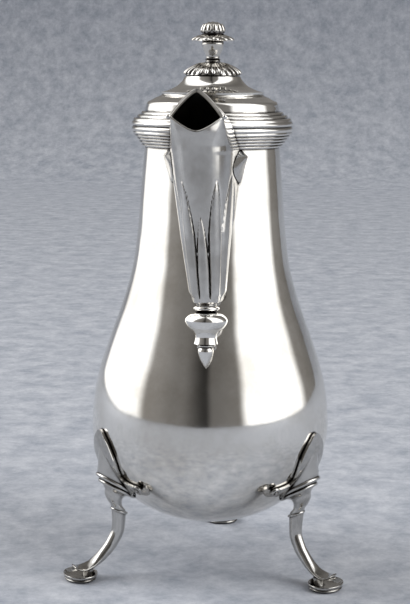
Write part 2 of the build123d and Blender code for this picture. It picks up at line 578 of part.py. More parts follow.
def wings(outer):
    """Lens-shaped lobes by which the cheeks land on the neck, just under the collar."""
    top = JOINT_Z - COLLAR_H
    low, inner = top - WING_H, SPOUT_BASE_HALF_W - WING_LAP
    lobes = []
    for side in (-1, 1):
        brow = (side * (SPOUT_BASE_HALF_W + WING_T / 2), top)
        lines = Polyline((side * inner, low), (side * inner, top), brow)
        curve = Spline(brow, (side * WING_HALF_W, top - 0.27 * WING_H), (side * inner, low))
        lobes.append(extrude(Plane.XZ * make_face(Wire.combine([lines, curve])[0]), amount=2 * NECK_R))
    shell = body_solid(-WING_T) - outer
    return [solid for lobe in lobes for solid in (shell & lobe).solids()]


def leaning(shape):
    """Tips the beak out of plumb."""
    return Pos(0, 0, SPOUT_LEAN_Z) * Rot(Y=-SPOUT_LEAN) * Pos(0, 0, -SPOUT_LEAN_Z) * shape


def upright(shape):
    """The opposite of leaning, for what must stand plumb once the beak leans."""
    return Pos(0, 0, SPOUT_LEAN_Z) * Rot(Y=SPOUT_LEAN) * Pos(0, 0, -SPOUT_LEAN_Z) * shape


def make_spout(outer):
    form = beak_solid().fuse(*flutes()) - mouth_cut() - beak_solid(SPOUT_WALL)
    form = leaning(form) - outer - crest_form(-1, COLLAR_BIG_REED, COLLAR_H, COLLAR_END_R, REED_CREST / 2)
    corner_reach = mouth_reach(CORNER_Z)
    for side in (-1, 1):
        corner = Pos(side * (CORNER_HALF_W + 0.5 * PEARL_R), -corner_reach + PEARL_R, CORNER_Z)
        form = form.fuse(leaning(corner * Sphere(PEARL_R)))
    return form.fuse(*wings(outer))


def mouth_reach(z):
    """Distance of the mouth's plane from the pot's axis at a height."""
    return LIP_REACH - (z - LIP_Z) * (LIP_REACH - APEX_REACH) / (APEX_Z - LIP_Z)


def make_drop(outer, spout):
    """Turned drop under the beak: ring, ring, bulb, flared neck, ring and pointed bud."""
    foot, groove = SPOUT_FOOT_Z, DROP_GROOVE
    z1, z2, z3, z4, z5, z6, z7, z8, tip = [foot - share * DROP_LEN for share in DROP_LEVELS]
    ring_r, collar_r, flare_r = DROP_RING_R - groove, DROP_NECK_R - groove, 1.06 * DROP_NECK_R
    bud_r = 0.85 * collar_r
    outline = [Polyline((0, 0, foot), (ring_r, 0, foot), (ring_r, 0, z1)),
               ThreePointArc((ring_r, 0, z1), (DROP_RING_R, 0, (z1 + z2) / 2), (ring_r, 0, z2)),
               ThreePointArc((ring_r, 0, z2), (DROP_R, 0, z3), (DROP_NECK_R, 0, z4)),
               Spline((DROP_NECK_R, 0, z4), (0.94 * DROP_NECK_R, 0, z5), (flare_r, 0, z6)),
               Line((flare_r, 0, z6), (collar_r, 0, z6)),
               ThreePointArc((collar_r, 0, z6), (collar_r + groove / 3, 0, (z6 + z7) / 2), (bud_r, 0, z7)),
               Spline((bud_r, 0, z7), (DROP_BUD_R, 0, z8), (0, 0, tip), tangents=[(1, 0, -1), (-0.8, 0, -1)]),
               Line((0, 0, tip), (0, 0, foot))]
    foot_x = (SPOUT_LEAN_Z - foot) * sin(radians(SPOUT_LEAN))
    drop = Pos(foot_x, -DROP_REACH, foot) * Rot(X=DROP_TILT) * Pos(0, 0, -foot) * turned(*outline)
    return drop - spout - outer


# ---- legs ---------------------------------------------------------------------------------
def belly_shell(outer):
    """Layer of the shields' thickness over the lower belly."""
    thick = turned(belly_arc(-SHIELD_T), Polyline((BELLY_R + SHIELD_T, 0, BELLY_Z), (0, 0, BELLY_Z),
                                                  (0, 0, BELLY_Z - BELLY_DROP - SHIELD_T)))
    return thick - outer


def shield_outline():
    """Arched shield with two lobes at its foot, drawn across the leg (x) and up (y)."""
    half, out, lobe_z, end_r = SHIELD_HALF_W, SHIELD_LOBE_HALF_W, SHIELD_LOBE_Z, SHIELD_LOBE_R
    brow, waist = (half, SHIELD_TOP_Z - 1.1 * half), (0.93 * half, lobe_z + 2.3 * end_r)
    lobe_x = out - 0.7 * end_r
    lobe_top, lobe_foot = (lobe_x, lobe_z + end_r), (lobe_x, lobe_z - end_r)
    foot = (0, lobe_z - 2.5 * end_r)
    armpit = (0.5 * (waist[0] + lobe_x) - 0.3 * end_r, lobe_z + 1.3 * end_r)
    lines = [ThreePointArc((0, SHIELD_TOP_Z), (0.66 * half, SHIELD_TOP_Z - 0.3 * half), brow),
             Line(brow, waist), ThreePointArc(waist, armpit, lobe_top),
             ThreePointArc(lobe_top, (lobe_x + end_r, lobe_z), lobe_foot),
             ThreePointArc(lobe_foot, (0.5 * out, lobe_z - 2.1 * end_r), foot),
             Line(foot, (0, SHIELD_TOP_Z))]
    half_face = make_face(Wire.combine(lines)[0])
    return half_face + mirror(half_face, Plane.YZ)


def on_belly(x, z, lift):
    """Point on the rear of the belly at x across and height z, standing out by lift."""
    a, b = BELLY_R + lift, BELLY_DROP + lift
    level = a * sqrt(1 - ((z - BELLY_Z) / b) ** 2)
    return Vector(x, sqrt(level ** 2 - x ** 2), z)


def make_shield(outer, shell):
    """The shield of the rear leg: arched plate, a volute at each foot lobe and two pearls."""
    face = Plane.XZ * shield_outline()
    plate = shell & extrude(face, amount=-2 * BELLY_R)
    for side in (-1, 1):
        volute = on_belly(side * (SHIELD_LOBE_HALF_W - 0.3 * SHIELD_LOBE_R), SHIELD_LOBE_Z, SHIELD_T)
        pearl = on_belly(side * (SHIELD_HALF_W - 2.5 * PEARL_R), SHIELD_LOBE_Z + SHIELD_LOBE_R, SHIELD_T)
        plate = plate.fuse(Pos(*volute) * Sphere(SHIELD_LOBE_R), Pos(*pearl) * Sphere(PEARL_R))
    return Rot(Z=LEG_LEAN) * (plate - outer)


def leg_section(reach, z, half_w, half_d, tilt):
    """Oval section across the leg; tilt is how far its outer edge is raised, in degrees."""
    plane = Plane(origin=(0, reach, z), x_dir=(1, 0, 0), z_dir=(0, sin(radians(tilt)), -cos(radians(tilt))))
    lean = LEG_LEAN * min(1.0, z / ANKLE_Z)
    return Rot(Z=lean) * plane * Ellipse(half_w, half_d)


def rib(reach, z, half_w, half_d, tilt, thick):
    """Rounded moulding wrapped round the leg."""
    oval = extrude(leg_section(reach, z, half_w, half_d, tilt), amount=thick / 2, both=True)
    edges = oval.edges().filter_by(lambda edge: edge.length > 4 * thick)
    return fillet(edges, 0.3 * thick)


def make_leg(shell_outer):
    """The rear leg: knee with a double moulding, tapering neck, ring, shaft and curled leaf."""
    half_w, half_d, tilt = KNEE_HALF_W, KNEE_HALF_D, KNEE_TILT
    high_ankle = leg_section(ANKLE_REACH + 0.2 * SHAFT_R, ANKLE_Z + 0.6 * SHAFT_R,
                             1.25 * SHAFT_R, 1.3 * SHAFT_R, ANKLE_TILT)
    rows = [(KNEE_REACH - 0.2 * half_d, KNEE_Z + 0.55 * half_d, 0.94, 1.03, 1.0),
            (KNEE_REACH, KNEE_Z, 0.94, 0.93, 1.0),
            (KNEE_REACH + 0.08 * half_d, KNEE_Z - 0.3 * half_d, 0.72, 0.62, 0.9),
            (NECK_LEG_REACH, NECK_LEG_Z, 0.42, 0.36, 0.8)]
    knee = loft([leg_section(reach, z, wide * half_w, deep * half_d, turn * tilt)
                 for reach, z, wide, deep, turn in rows] + [high_ankle])
    rows = [high_ankle, leg_section(ANKLE_REACH, 0.9 * ANKLE_Z, 1.1 * SHAFT_R, 1.12 * SHAFT_R, ANKLE_TILT / 4)]
    for out, high, wide, deep, turn in SHAFT_ROWS:
        reach, z = ANKLE_REACH + out * ANKLE_TO_FOOT, high * ANKLE_Z
        rows.append(leg_section(reach, z, wide * SHAFT_R, deep * SHAFT_R, turn))
    ribs = [rib(KNEE_REACH, KNEE_Z, half_w, half_d, tilt, KNEE_RIB_T),
            rib(KNEE_REACH, KNEE_Z - 1.6 * KNEE_RIB_T, 0.9 * half_w, 0.93 * half_d, tilt, KNEE_RIB_T),
            rib(ANKLE_REACH, ANKLE_Z, 1.45 * SHAFT_R, 1.5 * SHAFT_R, ANKLE_TILT, KNEE_RIB_T)]
    return knee.fuse(loft(rows), *ribs) - shell_outer


def pad_oval(share, z):
    """Level oval across the pad at a height; share is its size against the whole pad's."""
    return Pos(0, 0, z) * Ellipse(share * PAD_W / 2, share * PAD_LEN / 2)


def make_pad(leg):
    """Shallow spoon-shaped sole with an upturned rim, on a short stem under the leaf."""
    outside = loft([pad_oval(PAD_FLAT, 0), pad_oval(0.93, 0.45 * PAD_H), pad_oval(1.0, PAD_H)])
    hollow = loft([pad_oval(0.86 * PAD_FLAT, PAD_T), pad_oval(0.94, 1.12 * PAD_H)])
    stem = Pos(0, -PAD_LEN / 4, 0) * disc(SHAFT_R, PAD_T / 2, 2 * PAD_H)
    pad = Pos(0, FOOT_REACH, 0) * ((outside - hollow) + stem)
    return pad - leg


# ---- handle -------------------------------------------------------------------------------
def body_radius(outer, z):
    """Outer radius of the body at a height."""
    return outer.intersect(Plane.XY.offset(z))[0].bounding_box().max.Y


def socket_frame(outer, z, tilt):
    """Location whose Z runs out of a socket's mouth and whose origin is on the body's wall."""
    return Pos(0, body_radius(outer, z), z) * Rot(X=-(90 - tilt))


def make_socket(frame, outer):
    bore, ring_r = TENON_R + RUN_FIT, TENON_R + RUN_FIT + SOCKET_WALL + SOCKET_RING
    wall_r, flange_r = bore + SOCKET_WALL, bore + SOCKET_WALL + SOCKET_FLANGE
    root, bottom, ring_z = -2.5 * SOCKET_FLANGE, SOCKET_LEN - TENON_LEN, SOCKET_LEN - SOCKET_RING_H
    ring_mid = ring_z + SOCKET_RING_H / 2
    outline = [Polyline((0, 0, root), (flange_r, 0, root), (flange_r, 0, SOCKET_FLANGE),
                        (wall_r, 0, 2 * SOCKET_FLANGE), (wall_r, 0, ring_z)),
               ThreePointArc((wall_r, 0, ring_z), (ring_r, 0, ring_mid), (wall_r, 0, SOCKET_LEN)),
               Polyline((wall_r, 0, SOCKET_LEN), (bore, 0, SOCKET_LEN), (bore, 0, bottom), (0, 0, bottom),
                        (0, 0, root))]
    socket = frame * turned(*outline) - outer
    return socket - frame * pin_bore()


def pin_bore():
    """Cross hole through socket and tenon, in the socket's own frame."""
    length = 2 * (TENON_R + RUN_FIT + SOCKET_WALL + SOCKET_PIN_R)
    return Pos(0, 0, SOCKET_PIN_Z) * Rot(Y=90) * Cylinder(SOCKET_PIN_R, length)


def make_pin(frame):
    wall_r = TENON_R + RUN_FIT + SOCKET_WALL
    balls = [Pos(side * wall_r, 0, SOCKET_PIN_Z) * Sphere(1.5 * SOCKET_PIN_R) for side in (-1, 1)]
    heads = [ball - disc(wall_r, 0, SOCKET_LEN) for ball in balls]
    return frame * pin_bore().fuse(*heads)


def oval(half_x, half_y):
    """Closed smooth section with the same eight points at every size."""
    turns = [i * pi / 4 for i in range(8)]
    return make_face(Spline(*[(half_x * cos(t), half_y * sin(t)) for t in turns], periodic=True))


def make_handle(upper, lower):
    """Wooden scroll from the upper socket over and down to the lower one."""
    foot, mouth = Pos(0, 0, SOCKET_LEN - TENON_LEN + SWING_GAP), Pos(0, 0, SOCKET_LEN)
    tenons = [frame * foot * disc(TENON_R, 0, TENON_LEN) for frame in (upper, lower)]
    start, end = (upper * mouth).position, (lower * mouth).position
    out, high = HANDLE_REACH - GRIP_R, start.Z - end.Z
    bends = [Vector(0, root.Y + wide * (out - root.Y), start.Z + up * high)
             for (wide, up), root in zip(GRIP_BENDS, (start, start, start, start, end))]
    path = Spline(start, *bends, end, tangents=[start - (upper * foot).position, (lower * foot).position - end])
    faces, end_r = [], TENON_R + SOCKET_WALL
    for i in range(GRIP_SECTIONS):
        share = i / (GRIP_SECTIONS - 1)
        fat = min(1.0, 1.5 * sin(pi * share))
        plane = Plane(origin=path @ share, x_dir=(1, 0, 0), z_dir=path % share)
        faces.append(plane * oval(end_r + fat * (GRIP_X - end_r), end_r + fat * (GRIP_R - end_r)))
    return loft(faces).fuse(*tenons)


# ---- main ---------------------------------------------------------------------------------
if __name__ == "__main__":
    os.makedirs("parts", exist_ok=True)
    outer = body_solid()
    put("body", make_body(outer))
    collar = reeded_ring(NECK_R, -1, COLLAR_BIG_REED, COLLAR_REEDS, COLLAR_H, COLLAR_END_R)
    rim = reeded_ring(NECK_R - BODY_WALL - BEZEL_GAP, 1, RIM_BIG_REED, RIM_REEDS, RIM_H, RIM_END_R)
    put("collar", collar)
    put("lid_rim", rim)
    put("lid_bezel", make_bezel())
    lid, lid_outer = make_lid()
    put("lid", lid)
    bush, boss, rivet = make_swivel_parts(lid_outer)
    put("stirrer_bush", bush)
    put("swivel_boss", boss)
    put("swivel_rivet", rivet)
    put("finial_plate", make_finial_plate())
    put("finial_cap", make_finial_cap())
    put("finial_baluster", make_baluster())
    put("finial_calyx", make_calyx())
    put("finial_bud", make_bud())
    put("finial_rod", finial_rod())

    spout = make_spout(outer)
    put("spout", spout)
    put("spout_drop", make_drop(outer, spout))

    shell = belly_shell(outer)
    shell_outer = outer.fuse(shell)
    shield = make_shield(outer, shell)
    leg = make_leg(shell_outer) - shield
    pad = make_pad(leg)
    for i, name in enumerate(LEGS):
        angle = 360 * i / len(LEGS)
        put(f"shield_{name}", Rot(Z=angle) * shield)
        put(f"leg_{name}", Rot(Z=angle) * leg)
        put(f"foot_{name}", Rot(Z=angle) * pad)

    upper = socket_frame(outer, UPPER_SOCKET_Z, UPPER_SOCKET_TILT)
    lower = socket_frame(outer, LOWER_SOCKET_Z, LOWER_SOCKET_TILT)
    handle = make_handle(upper, lower)
    for name, frame in (("upper", upper), ("lower", lower)):
        put(f"socket_{name}", make_socket(frame, outer))
        put(f"socket_pin_{name}", make_pin(frame))
        handle -= frame * pin_bore()
    put("handle", handle)

    body_leaf, lid_leaf = make_hinge()
    put("hinge_body_leaf", body_leaf)
    put("hinge_lid_leaf", lid_leaf)
    put("hinge_pin", hinge_bore(0.0))
    put("thumbpiece", make_thumbpiece())
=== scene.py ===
# %% [markdown]
# # A silver chocolate pot
# The pot is raised from sheet silver: a pear-shaped body on three cast legs, a beak with a
# turned drop under it, a reeded joint between body and lid, and a capped finial that swings
# aside from a hole for the stirring mill. The measured CAD model is the frame. Each silver
# piece that shows from the front is modelled again here with clean rings of faces, because
# polished metal mirrors every facet of a coarse mesh.

# %% Load the frame
from math import atan2, cos, pi, radians, sin, sqrt

import bpy
from mathutils import Matrix, Vector


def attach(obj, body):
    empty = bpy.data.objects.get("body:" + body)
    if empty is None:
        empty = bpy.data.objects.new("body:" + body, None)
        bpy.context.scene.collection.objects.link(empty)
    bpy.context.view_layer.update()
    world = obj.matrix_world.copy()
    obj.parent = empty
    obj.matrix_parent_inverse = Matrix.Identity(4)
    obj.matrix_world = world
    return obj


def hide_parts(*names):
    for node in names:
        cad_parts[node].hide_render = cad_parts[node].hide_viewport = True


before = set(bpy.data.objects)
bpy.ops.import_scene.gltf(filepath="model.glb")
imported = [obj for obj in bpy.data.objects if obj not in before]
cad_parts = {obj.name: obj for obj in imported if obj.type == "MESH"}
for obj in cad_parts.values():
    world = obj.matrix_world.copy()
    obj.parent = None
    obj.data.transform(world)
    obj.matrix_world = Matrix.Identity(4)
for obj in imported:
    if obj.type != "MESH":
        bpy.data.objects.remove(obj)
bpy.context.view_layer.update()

MM = 0.001
AXIS_Y = -20.0           # the pot's own axis stands this far in front of the frame's origin

# %% [markdown]
# ## How the pieces are made
# Most of the pot is turned or raised on a lathe or stake, so most pieces here start as one
# ring of points. The ring is extruded, raised and scaled along the piece's outline, just as
# the outline would be drawn on a turner's board. First come the few steps that every piece
# needs: picking it, editing its points, and leaving it at the origin with smooth shading.

# %% Picking and editing a piece
def fresh():
    """Leaves nothing selected, so that an operator acts on the new piece alone."""
    if bpy.context.object and bpy.context.object.mode != "OBJECT":
        bpy.ops.object.mode_set(mode="OBJECT")
    bpy.ops.object.select_all(action="DESELECT")


def pick(piece):
    """Makes the piece the only selected one, and the active one."""
    fresh()
    piece.select_set(True)
    bpy.context.view_layer.objects.active = piece


def begin_edit(name):
    """Names the active piece and opens its mesh with everything selected."""
    piece = bpy.context.object
    piece.name = piece.data.name = name
    bpy.ops.object.mode_set(mode="EDIT")
    bpy.ops.mesh.select_all(action="SELECT")
    return piece


def end_edit(weld=0.001):
    """Merges points closer than weld millimetres, turns the faces outwards, closes the mesh."""
    bpy.ops.mesh.select_all(action="SELECT")
    bpy.ops.mesh.remove_doubles(threshold=weld * MM)
    bpy.ops.mesh.normals_make_consistent(inside=False)
    bpy.ops.object.mode_set(mode="OBJECT")


def settle(piece):
    """Puts the piece's place into its mesh, so that its object sits at the origin, unturned."""
    pick(piece)
    bpy.ops.object.transform_apply(location=True, rotation=True, scale=True)
    return piece


def smooth(piece, angle=40):
    """Shades the piece smooth, except over edges sharper than this many degrees."""
    pick(piece)
    bpy.ops.object.shade_smooth_by_angle(angle=radians(angle))


print("helpers: fresh, pick, begin_edit, end_edit, settle, smooth")

# %% Turning a piece
TIP_R = 0.02             # a ring is never scaled below this radius, so that it can grow again
TIP_WELD = 0.03          # and the points of such a tip are merged


def turned(name, outline, steps=96, around=(0, AXIS_Y), close=False):
    """Extrudes a ring of points along an outline of (radius, height) in millimetres."""
    fresh()
    outline = [(max(r, TIP_R), z) for r, z in outline]
    if close:
        outline.append(outline[0])
    first_r, first_z = outline[0]
    bpy.ops.mesh.primitive_circle_add(vertices=steps, radius=first_r * MM, location=(0, 0, first_z * MM))
    piece = begin_edit(name)
    for (r, z), (next_r, next_z) in zip(outline, outline[1:]):
        bpy.ops.mesh.extrude_region_move(TRANSFORM_OT_translate={"value": (0, 0, (next_z - z) * MM)})
        grow = next_r / r
        bpy.ops.transform.resize(value=(grow, grow, 1), center_override=(0, 0, next_z * MM))
    end_edit(TIP_WELD)
    piece.location += Vector((around[0], around[1], 0)) * MM
    return settle(piece)


print("rings are drawn to", TIP_R, "mm and welded within", TIP_WELD, "mm")

# %% [markdown]
# ## Silver
# Old table silver is bright but not a perfect mirror: years of wiping leave fine scratches,
# the sheet keeps shallow hammer marks, and a thin patina dulls it in clouds. Its grooves are
# darkened as well: partly the tarnish that polish never reaches, partly painted shade for
# the shadow that falls into them. Scratches and hammer marks are two noises into the
# shader's bump. A third noise mixes the clean and the worn colour. The grooves are found by
# how much of the sky they can see, and painted shade with tarnish is mixed in where that is
# little.

# %% Nodes in one line each
def node(tree, kind, **inputs):
    """A node of this kind; an input is a value, or another node's socket to link from."""
    new = tree.nodes.new("ShaderNode" + kind)
    for name, given in inputs.items():
        socket = new.inputs[name.replace("_", " ")]
        if isinstance(given, bpy.types.NodeSocket):
            tree.links.new(given, socket)
        else:
            socket.default_value = given
    return new


def blank(name):
    """A new node material: itself, its tree, its shader's inputs and its object coordinates."""
    finish = bpy.data.materials.new(name)
    finish.use_nodes = True
    tree = finish.node_tree
    return finish, tree, tree.nodes["Principled BSDF"].inputs, node(tree, "TexCoord").outputs["Object"]


def two_tones(tree, grey, dark_at, dark, light_at, light):
    """Colours a grey value: dark up to the first level, light from the second."""
    ramp = node(tree, "ValToRGB", Fac=grey)
    ends = ramp.color_ramp.elements
    ends[0].position, ends[0].color = dark_at, (*dark, 1)
    ends[1].position, ends[1].color = light_at, (*light, 1)
    return ramp.outputs["Color"]


print("helpers: node, blank, two_tones")

# %% The silver finish
SILVER_TINT = (1, 0.98, 0.94)
PATINA_TINT = (1, 0.98, 0.95)
# Painted shade with tarnish: the brown-black colour given to grooves and inner corners
GROOVE_SHADE_AND_TARNISH = (0.025, 0.02, 0.016, 1)
MIX_FACTOR, MIX_A, MIX_B, MIX_RESULT = 0, 6, 7, 2        # a Mix node's sockets for colours


def silver_finish(name, dents=0.25, scratches=0.05, groove=0.0, rough=0.1, bright=0.87, worn=0.8,
                  shade_tarnish_ends=0.95):
    """Polished silver. bright is how much clean metal reflects, and worn the share of that
    under the patina. groove is how far, in millimetres, painted shade with tarnish reaches from
    an inner corner, and the last argument is the sky share a point must see to be free of it."""
    finish, tree, shader, place = blank(name)
    clean = tuple(bright * tint for tint in SILVER_TINT)
    tarnished = tuple(c * worn * tint for c, tint in zip(clean, PATINA_TINT))
    shader["Metallic"].default_value = 1.0
    shader["Base Color"].default_value = (*clean, 1)

    wiped = node(tree, "TexNoise", Vector=place, Scale=60, Detail=6)
    dull = node(tree, "MapRange", Value=wiped.outputs["Fac"], To_Min=rough - 0.04, To_Max=rough + 0.07)
    tree.links.new(dull.outputs["Result"], shader["Roughness"])

    marks = node(tree, "TexNoise", Vector=place, Scale=38, Detail=1.5)
    low = node(tree, "Bump", Height=marks.outputs["Fac"], Strength=dents, Distance=0.6 * MM)
    stretch = node(tree, "Mapping", Vector=place, Scale=(1, 1, 9))
    lines = node(tree, "TexNoise", Vector=stretch.outputs["Vector"], Scale=420, Detail=3)
    fine = node(tree, "Bump", Height=lines.outputs["Fac"], Normal=low.outputs["Normal"],
                Strength=scratches, Distance=0.05 * MM)
    tree.links.new(fine.outputs["Normal"], shader["Normal"])

    clouds = node(tree, "TexNoise", Vector=place, Scale=34, Detail=9, Roughness=0.65)
    tone = two_tones(tree, clouds.outputs["Fac"], 0.36, tarnished, 0.58, clean)
    # Painted shade with tarnish: where a point sees little sky, in a groove or an inner corner, its
    # colour is pulled towards the dark groove colour
    if groove:
        sky = node(tree, "AmbientOcclusion", Distance=groove * MM)
        sky.samples = 8
        reached = node(tree, "MapRange", Value=sky.outputs["AO"], From_Min=shade_tarnish_ends - 0.3,
                       From_Max=shade_tarnish_ends)
        groove_shade_and_tarnish = node(tree, "Mix")
        groove_shade_and_tarnish.data_type = "RGBA"
        groove_shade_and_tarnish.inputs[MIX_A].default_value = GROOVE_SHADE_AND_TARNISH
        tree.links.new(reached.outputs["Result"], groove_shade_and_tarnish.inputs[MIX_FACTOR])
        tree.links.new(tone, groove_shade_and_tarnish.inputs[MIX_B])
        tone = groove_shade_and_tarnish.outputs[MIX_RESULT]
    tree.links.new(tone, shader["Base Color"])
    return finish


plain_silver = silver_finish("plain_silver", dents=0.45, groove=1.1, rough=0.08, worn=0.82)
joint_silver = silver_finish("joint_silver", dents=0.08, groove=1.5, bright=0.8)
# The legs' silver is far darker than the rest: its low brightness is painted shade for the dim floor and
# room that the low legs mirror, and its deep patina is the cast metal's tarnish.
cast_silver = silver_finish("cast_silver", dents=0.15, groove=1.3, rough=0.12, bright=0.58, worn=0.5)
chased_silver = silver_finish("chased_silver", dents=0.1, groove=2.0, rough=0.11, bright=0.8,
                              shade_tarnish_ends=0.98)
beak_silver = silver_finish("beak_silver", dents=0.3, groove=0.8, rough=0.12, bright=0.74, worn=0.65,
                            shade_tarnish_ends=0.78)
inner_silver = silver_finish("inner_silver", dents=0.3, rough=0.3, bright=0.6)
print("finishes:", [m.name for m in bpy.data.materials])

# %% [markdown]
# ## Wood
# The grip is dark hardwood. Its grain runs up the pot, so the pattern is a noise stretched
# along Z that colours and slightly roughens the polish.

# %% The wood finish
dark_wood, tree, shader, place = blank("dark_wood")
stretch = node(tree, "Mapping", Vector=place, Scale=(1, 1, 0.12))
grain = node(tree, "TexNoise", Vector=stretch.outputs["Vector"], Scale=600, Detail=8, Distortion=0.6)
streaks = grain.outputs["Fac"]
shades = two_tones(tree, streaks, 0.35, (0.018, 0.008, 0.005), 0.7, (0.11, 0.045, 0.022))
dull = node(tree, "MapRange", Value=streaks, To_Min=0.28, To_Max=0.5)
pores = node(tree, "Bump", Height=streaks, Strength=0.25, Distance=0.1 * MM)
tree.links.new(shades, shader["Base Color"])
tree.links.new(dull.outputs["Result"], shader["Roughness"])
tree.links.new(pores.outputs["Normal"], shader["Normal"])
print("wood:", dark_wood.name)

# %% [markdown]
# ## The solids that stay
# Hinge, thumbpiece, sockets, pins, rivet, boss, plate, rod and grip are plain parts at the
# back or under the finial, right as they are. They only get a finish. The other solids get
# one too, although the pieces below hide them.

# %% Dress the solids
for name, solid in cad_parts.items():
    solid.data.materials.clear()
    solid.data.materials.append(dark_wood if name == "handle" else cast_silver)
print("dressed", len(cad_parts), "solids")

# %% [markdown]
# ## The body
# A silversmith raises the pear from one disc. Here one ring of points is carried up the
# outside, over the lip and down the inside again, which gives a wall 1 mm thick. The window
# that lets the chocolate into the beak is cut through the front afterwards.

# %% A smooth line through a few measured points
def flowing(points, per=6):
    """A smooth line through the points (Catmull-Rom), with per steps between neighbours."""
    points = [Vector(p) for p in points]
    ends = [2 * points[0] - points[1]] + points + [2 * points[-1] - points[-2]]
    line = []
    for a, b, c, d in zip(ends, ends[1:], ends[2:], ends[3:]):
        ab, bc, cd = sqrt((b - a).length), sqrt((c - b).length), sqrt((d - c).length)
        into = ((b - a) / ab - (c - a) / (ab + bc)) * bc + (c - b)
        out = ((d - c) / cd - (d - b) / (bc + cd)) * bc + (c - b)
        for i in range(per):
            t = i / per
            line.append((2 * t ** 3 - 3 * t ** 2 + 1) * b + (t ** 3 - 2 * t ** 2 + t) * into
                        + (3 * t ** 2 - 2 * t ** 3) * c + (t ** 3 - t ** 2) * out)
    return line + [points[-1]]


print("three points give a line of", len(flowing([(0, 0), (1, 1), (2, 0)])))

# %% The body's outline
BELLY_R, BELLY_Z, BELLY_DROP = 55.6, 69.0, 46.5      # widest radius, its height, depth under it
NECK_R = 31.0
COLLAR_FOOT = 198.8      # the lowest reed's lower edge
JOINT_Z = 208.1          # the plane where lid and body meet
WALL = 1.0
RING = 4.5               # degrees between two rings of the rounded bottom
turns = [radians(i * RING) for i in range(int(90 / RING))]
bottom = [(BELLY_R * sin(a), BELLY_Z - BELLY_DROP * cos(a)) for a in turns]
side = flowing([(BELLY_R, BELLY_Z), (54.9, 80.0), (52.5, 93.0), (46.6, 111.3), (40.6, 128.0),
                (36.6, 142.6), (34.4, 158.0), (33.1, 173.8), (32.0, 187.0), (NECK_R, COLLAR_FOOT)], 5)
outside = bottom + side + [(NECK_R, JOINT_Z)]
inside = [(max(r - WALL, 0), z + WALL * (z < BELLY_Z) * (BELLY_Z - z) / BELLY_DROP)
          for r, z in reversed(outside)]
print("outline points:", len(outside) + len(inside))


# %% Changing a piece with a modifier, and handing it over
def apply(piece, kind, **settings):
    """Adds a modifier with these settings and applies it."""
    pick(piece)
    modifier = piece.modifiers.new(kind, kind)
    for key, value in settings.items():
        setattr(modifier, key, value)
    bpy.ops.object.modifier_apply(modifier=modifier.name)


def keep(piece, body, *nodes, finish):
    """Rides a finished piece on its body and hides the solids that it stands for."""
    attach(piece, body)
    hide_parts(*nodes)
    piece.data.materials.clear()
    piece.data.materials.append(finish)
    print(f"{piece.name}: {len(piece.data.polygons)} faces, on {body}")


print("helpers: apply, keep")

# %% Raise the body and cut its window
WINDOW_R, WINDOW_FOOT, WINDOW_TALL, WINDOW_DEEP = 5.0, 155.0, 30.0, 30.0
body = turned("body_shell", outside + inside, 128)
fresh()
bpy.ops.mesh.primitive_cylinder_add(vertices=48, radius=WINDOW_R * MM, depth=WINDOW_DEEP * MM,
                                    location=(0, (AXIS_Y - NECK_R) * MM, WINDOW_FOOT * MM),
                                    rotation=(pi / 2, 0, 0))
cutter = begin_edit("window_cutter")
bpy.ops.mesh.select_all(action="DESELECT")
bpy.ops.object.mode_set(mode="OBJECT")
for vertex in cutter.data.vertices:
    vertex.select = (cutter.matrix_world @ vertex.co).z > (WINDOW_FOOT + 0.01) * MM
bpy.ops.object.mode_set(mode="EDIT")
bpy.ops.transform.translate(value=(0, 0, WINDOW_TALL * MM))
end_edit()
settle(cutter)
apply(body, "BOOLEAN", operation="DIFFERENCE", object=cutter, solver="EXACT")
bpy.data.objects.remove(cutter)
smooth(body, 50)
keep(body, "pot", "body", finish=plain_silver)

# %% [markdown]
# ## The reeded joint
# Two mouldings meet where lid and body part: below, a large reed over five small ones, and
# above, a large one under three. Each reed is a bow in the ring's outline, and the sharp
# valleys between them get painted shade with tarnish, which draws the dark lines.

# %% Collar and rim
REED_R = 37.0
REED_BOW, VALLEY_DEEP = 0.62, 0.5        # how far a reed bows out, and how far in it starts


def bowed(start, end, bow, steps=8):
    """An arc from start to end that stands out by bow, to the right of the way it runs."""
    start, end = Vector(start), Vector(end)
    side = Vector((end - start).yx) * Vector((1, -1))
    side.normalize()
    return [start.lerp(end, i / steps) + side * bow * sin(pi * i / steps) for i in range(steps + 1)]


def reeds(base_z, rise, widths, end_r, bore):
    """Outline of a stack of half-round reeds from the joint outwards, closed by its bore."""
    line, r, z = [], REED_R - VALLEY_DEEP, base_z
    drop = (REED_R - end_r) / (len(widths) - 1)
    for i, width in enumerate(widths):
        next_r, next_z = r - drop * (i > 0), z + rise * width
        bow = bowed((r, z), (next_r, next_z), REED_BOW * rise, 9)
        line += bow[1:] if line else bow
        r, z = next_r, next_z
    return line + [(bore, z), (bore, base_z)]


collar_reeds = reeds(JOINT_Z, -1, [2.3, 1.4, 1.4, 1.4, 1.4, 1.4], 31.9, NECK_R)
collar = turned("reeded_collar", collar_reeds, 128, close=True)
smooth(collar, 45)
keep(collar, "pot", "collar", finish=joint_silver)
rim_reeds = reeds(JOINT_Z + 0.1, 1, [2.2, 1.45, 1.45, 1.4], 31.6, 29.6)
rim = turned("reeded_rim", rim_reeds, 128, close=True)
smooth(rim, 45)
keep(rim, "lid", "lid_rim", finish=joint_silver)

# %% [markdown]
# ## The lid
# The lid is a stepped dome spun over a chuck: an upright band, a slope, a thin bead and a
# concave rise to a flat crown with the stirring hole. It is sheet all through, so its
# outline runs up the outside and back down the inside.

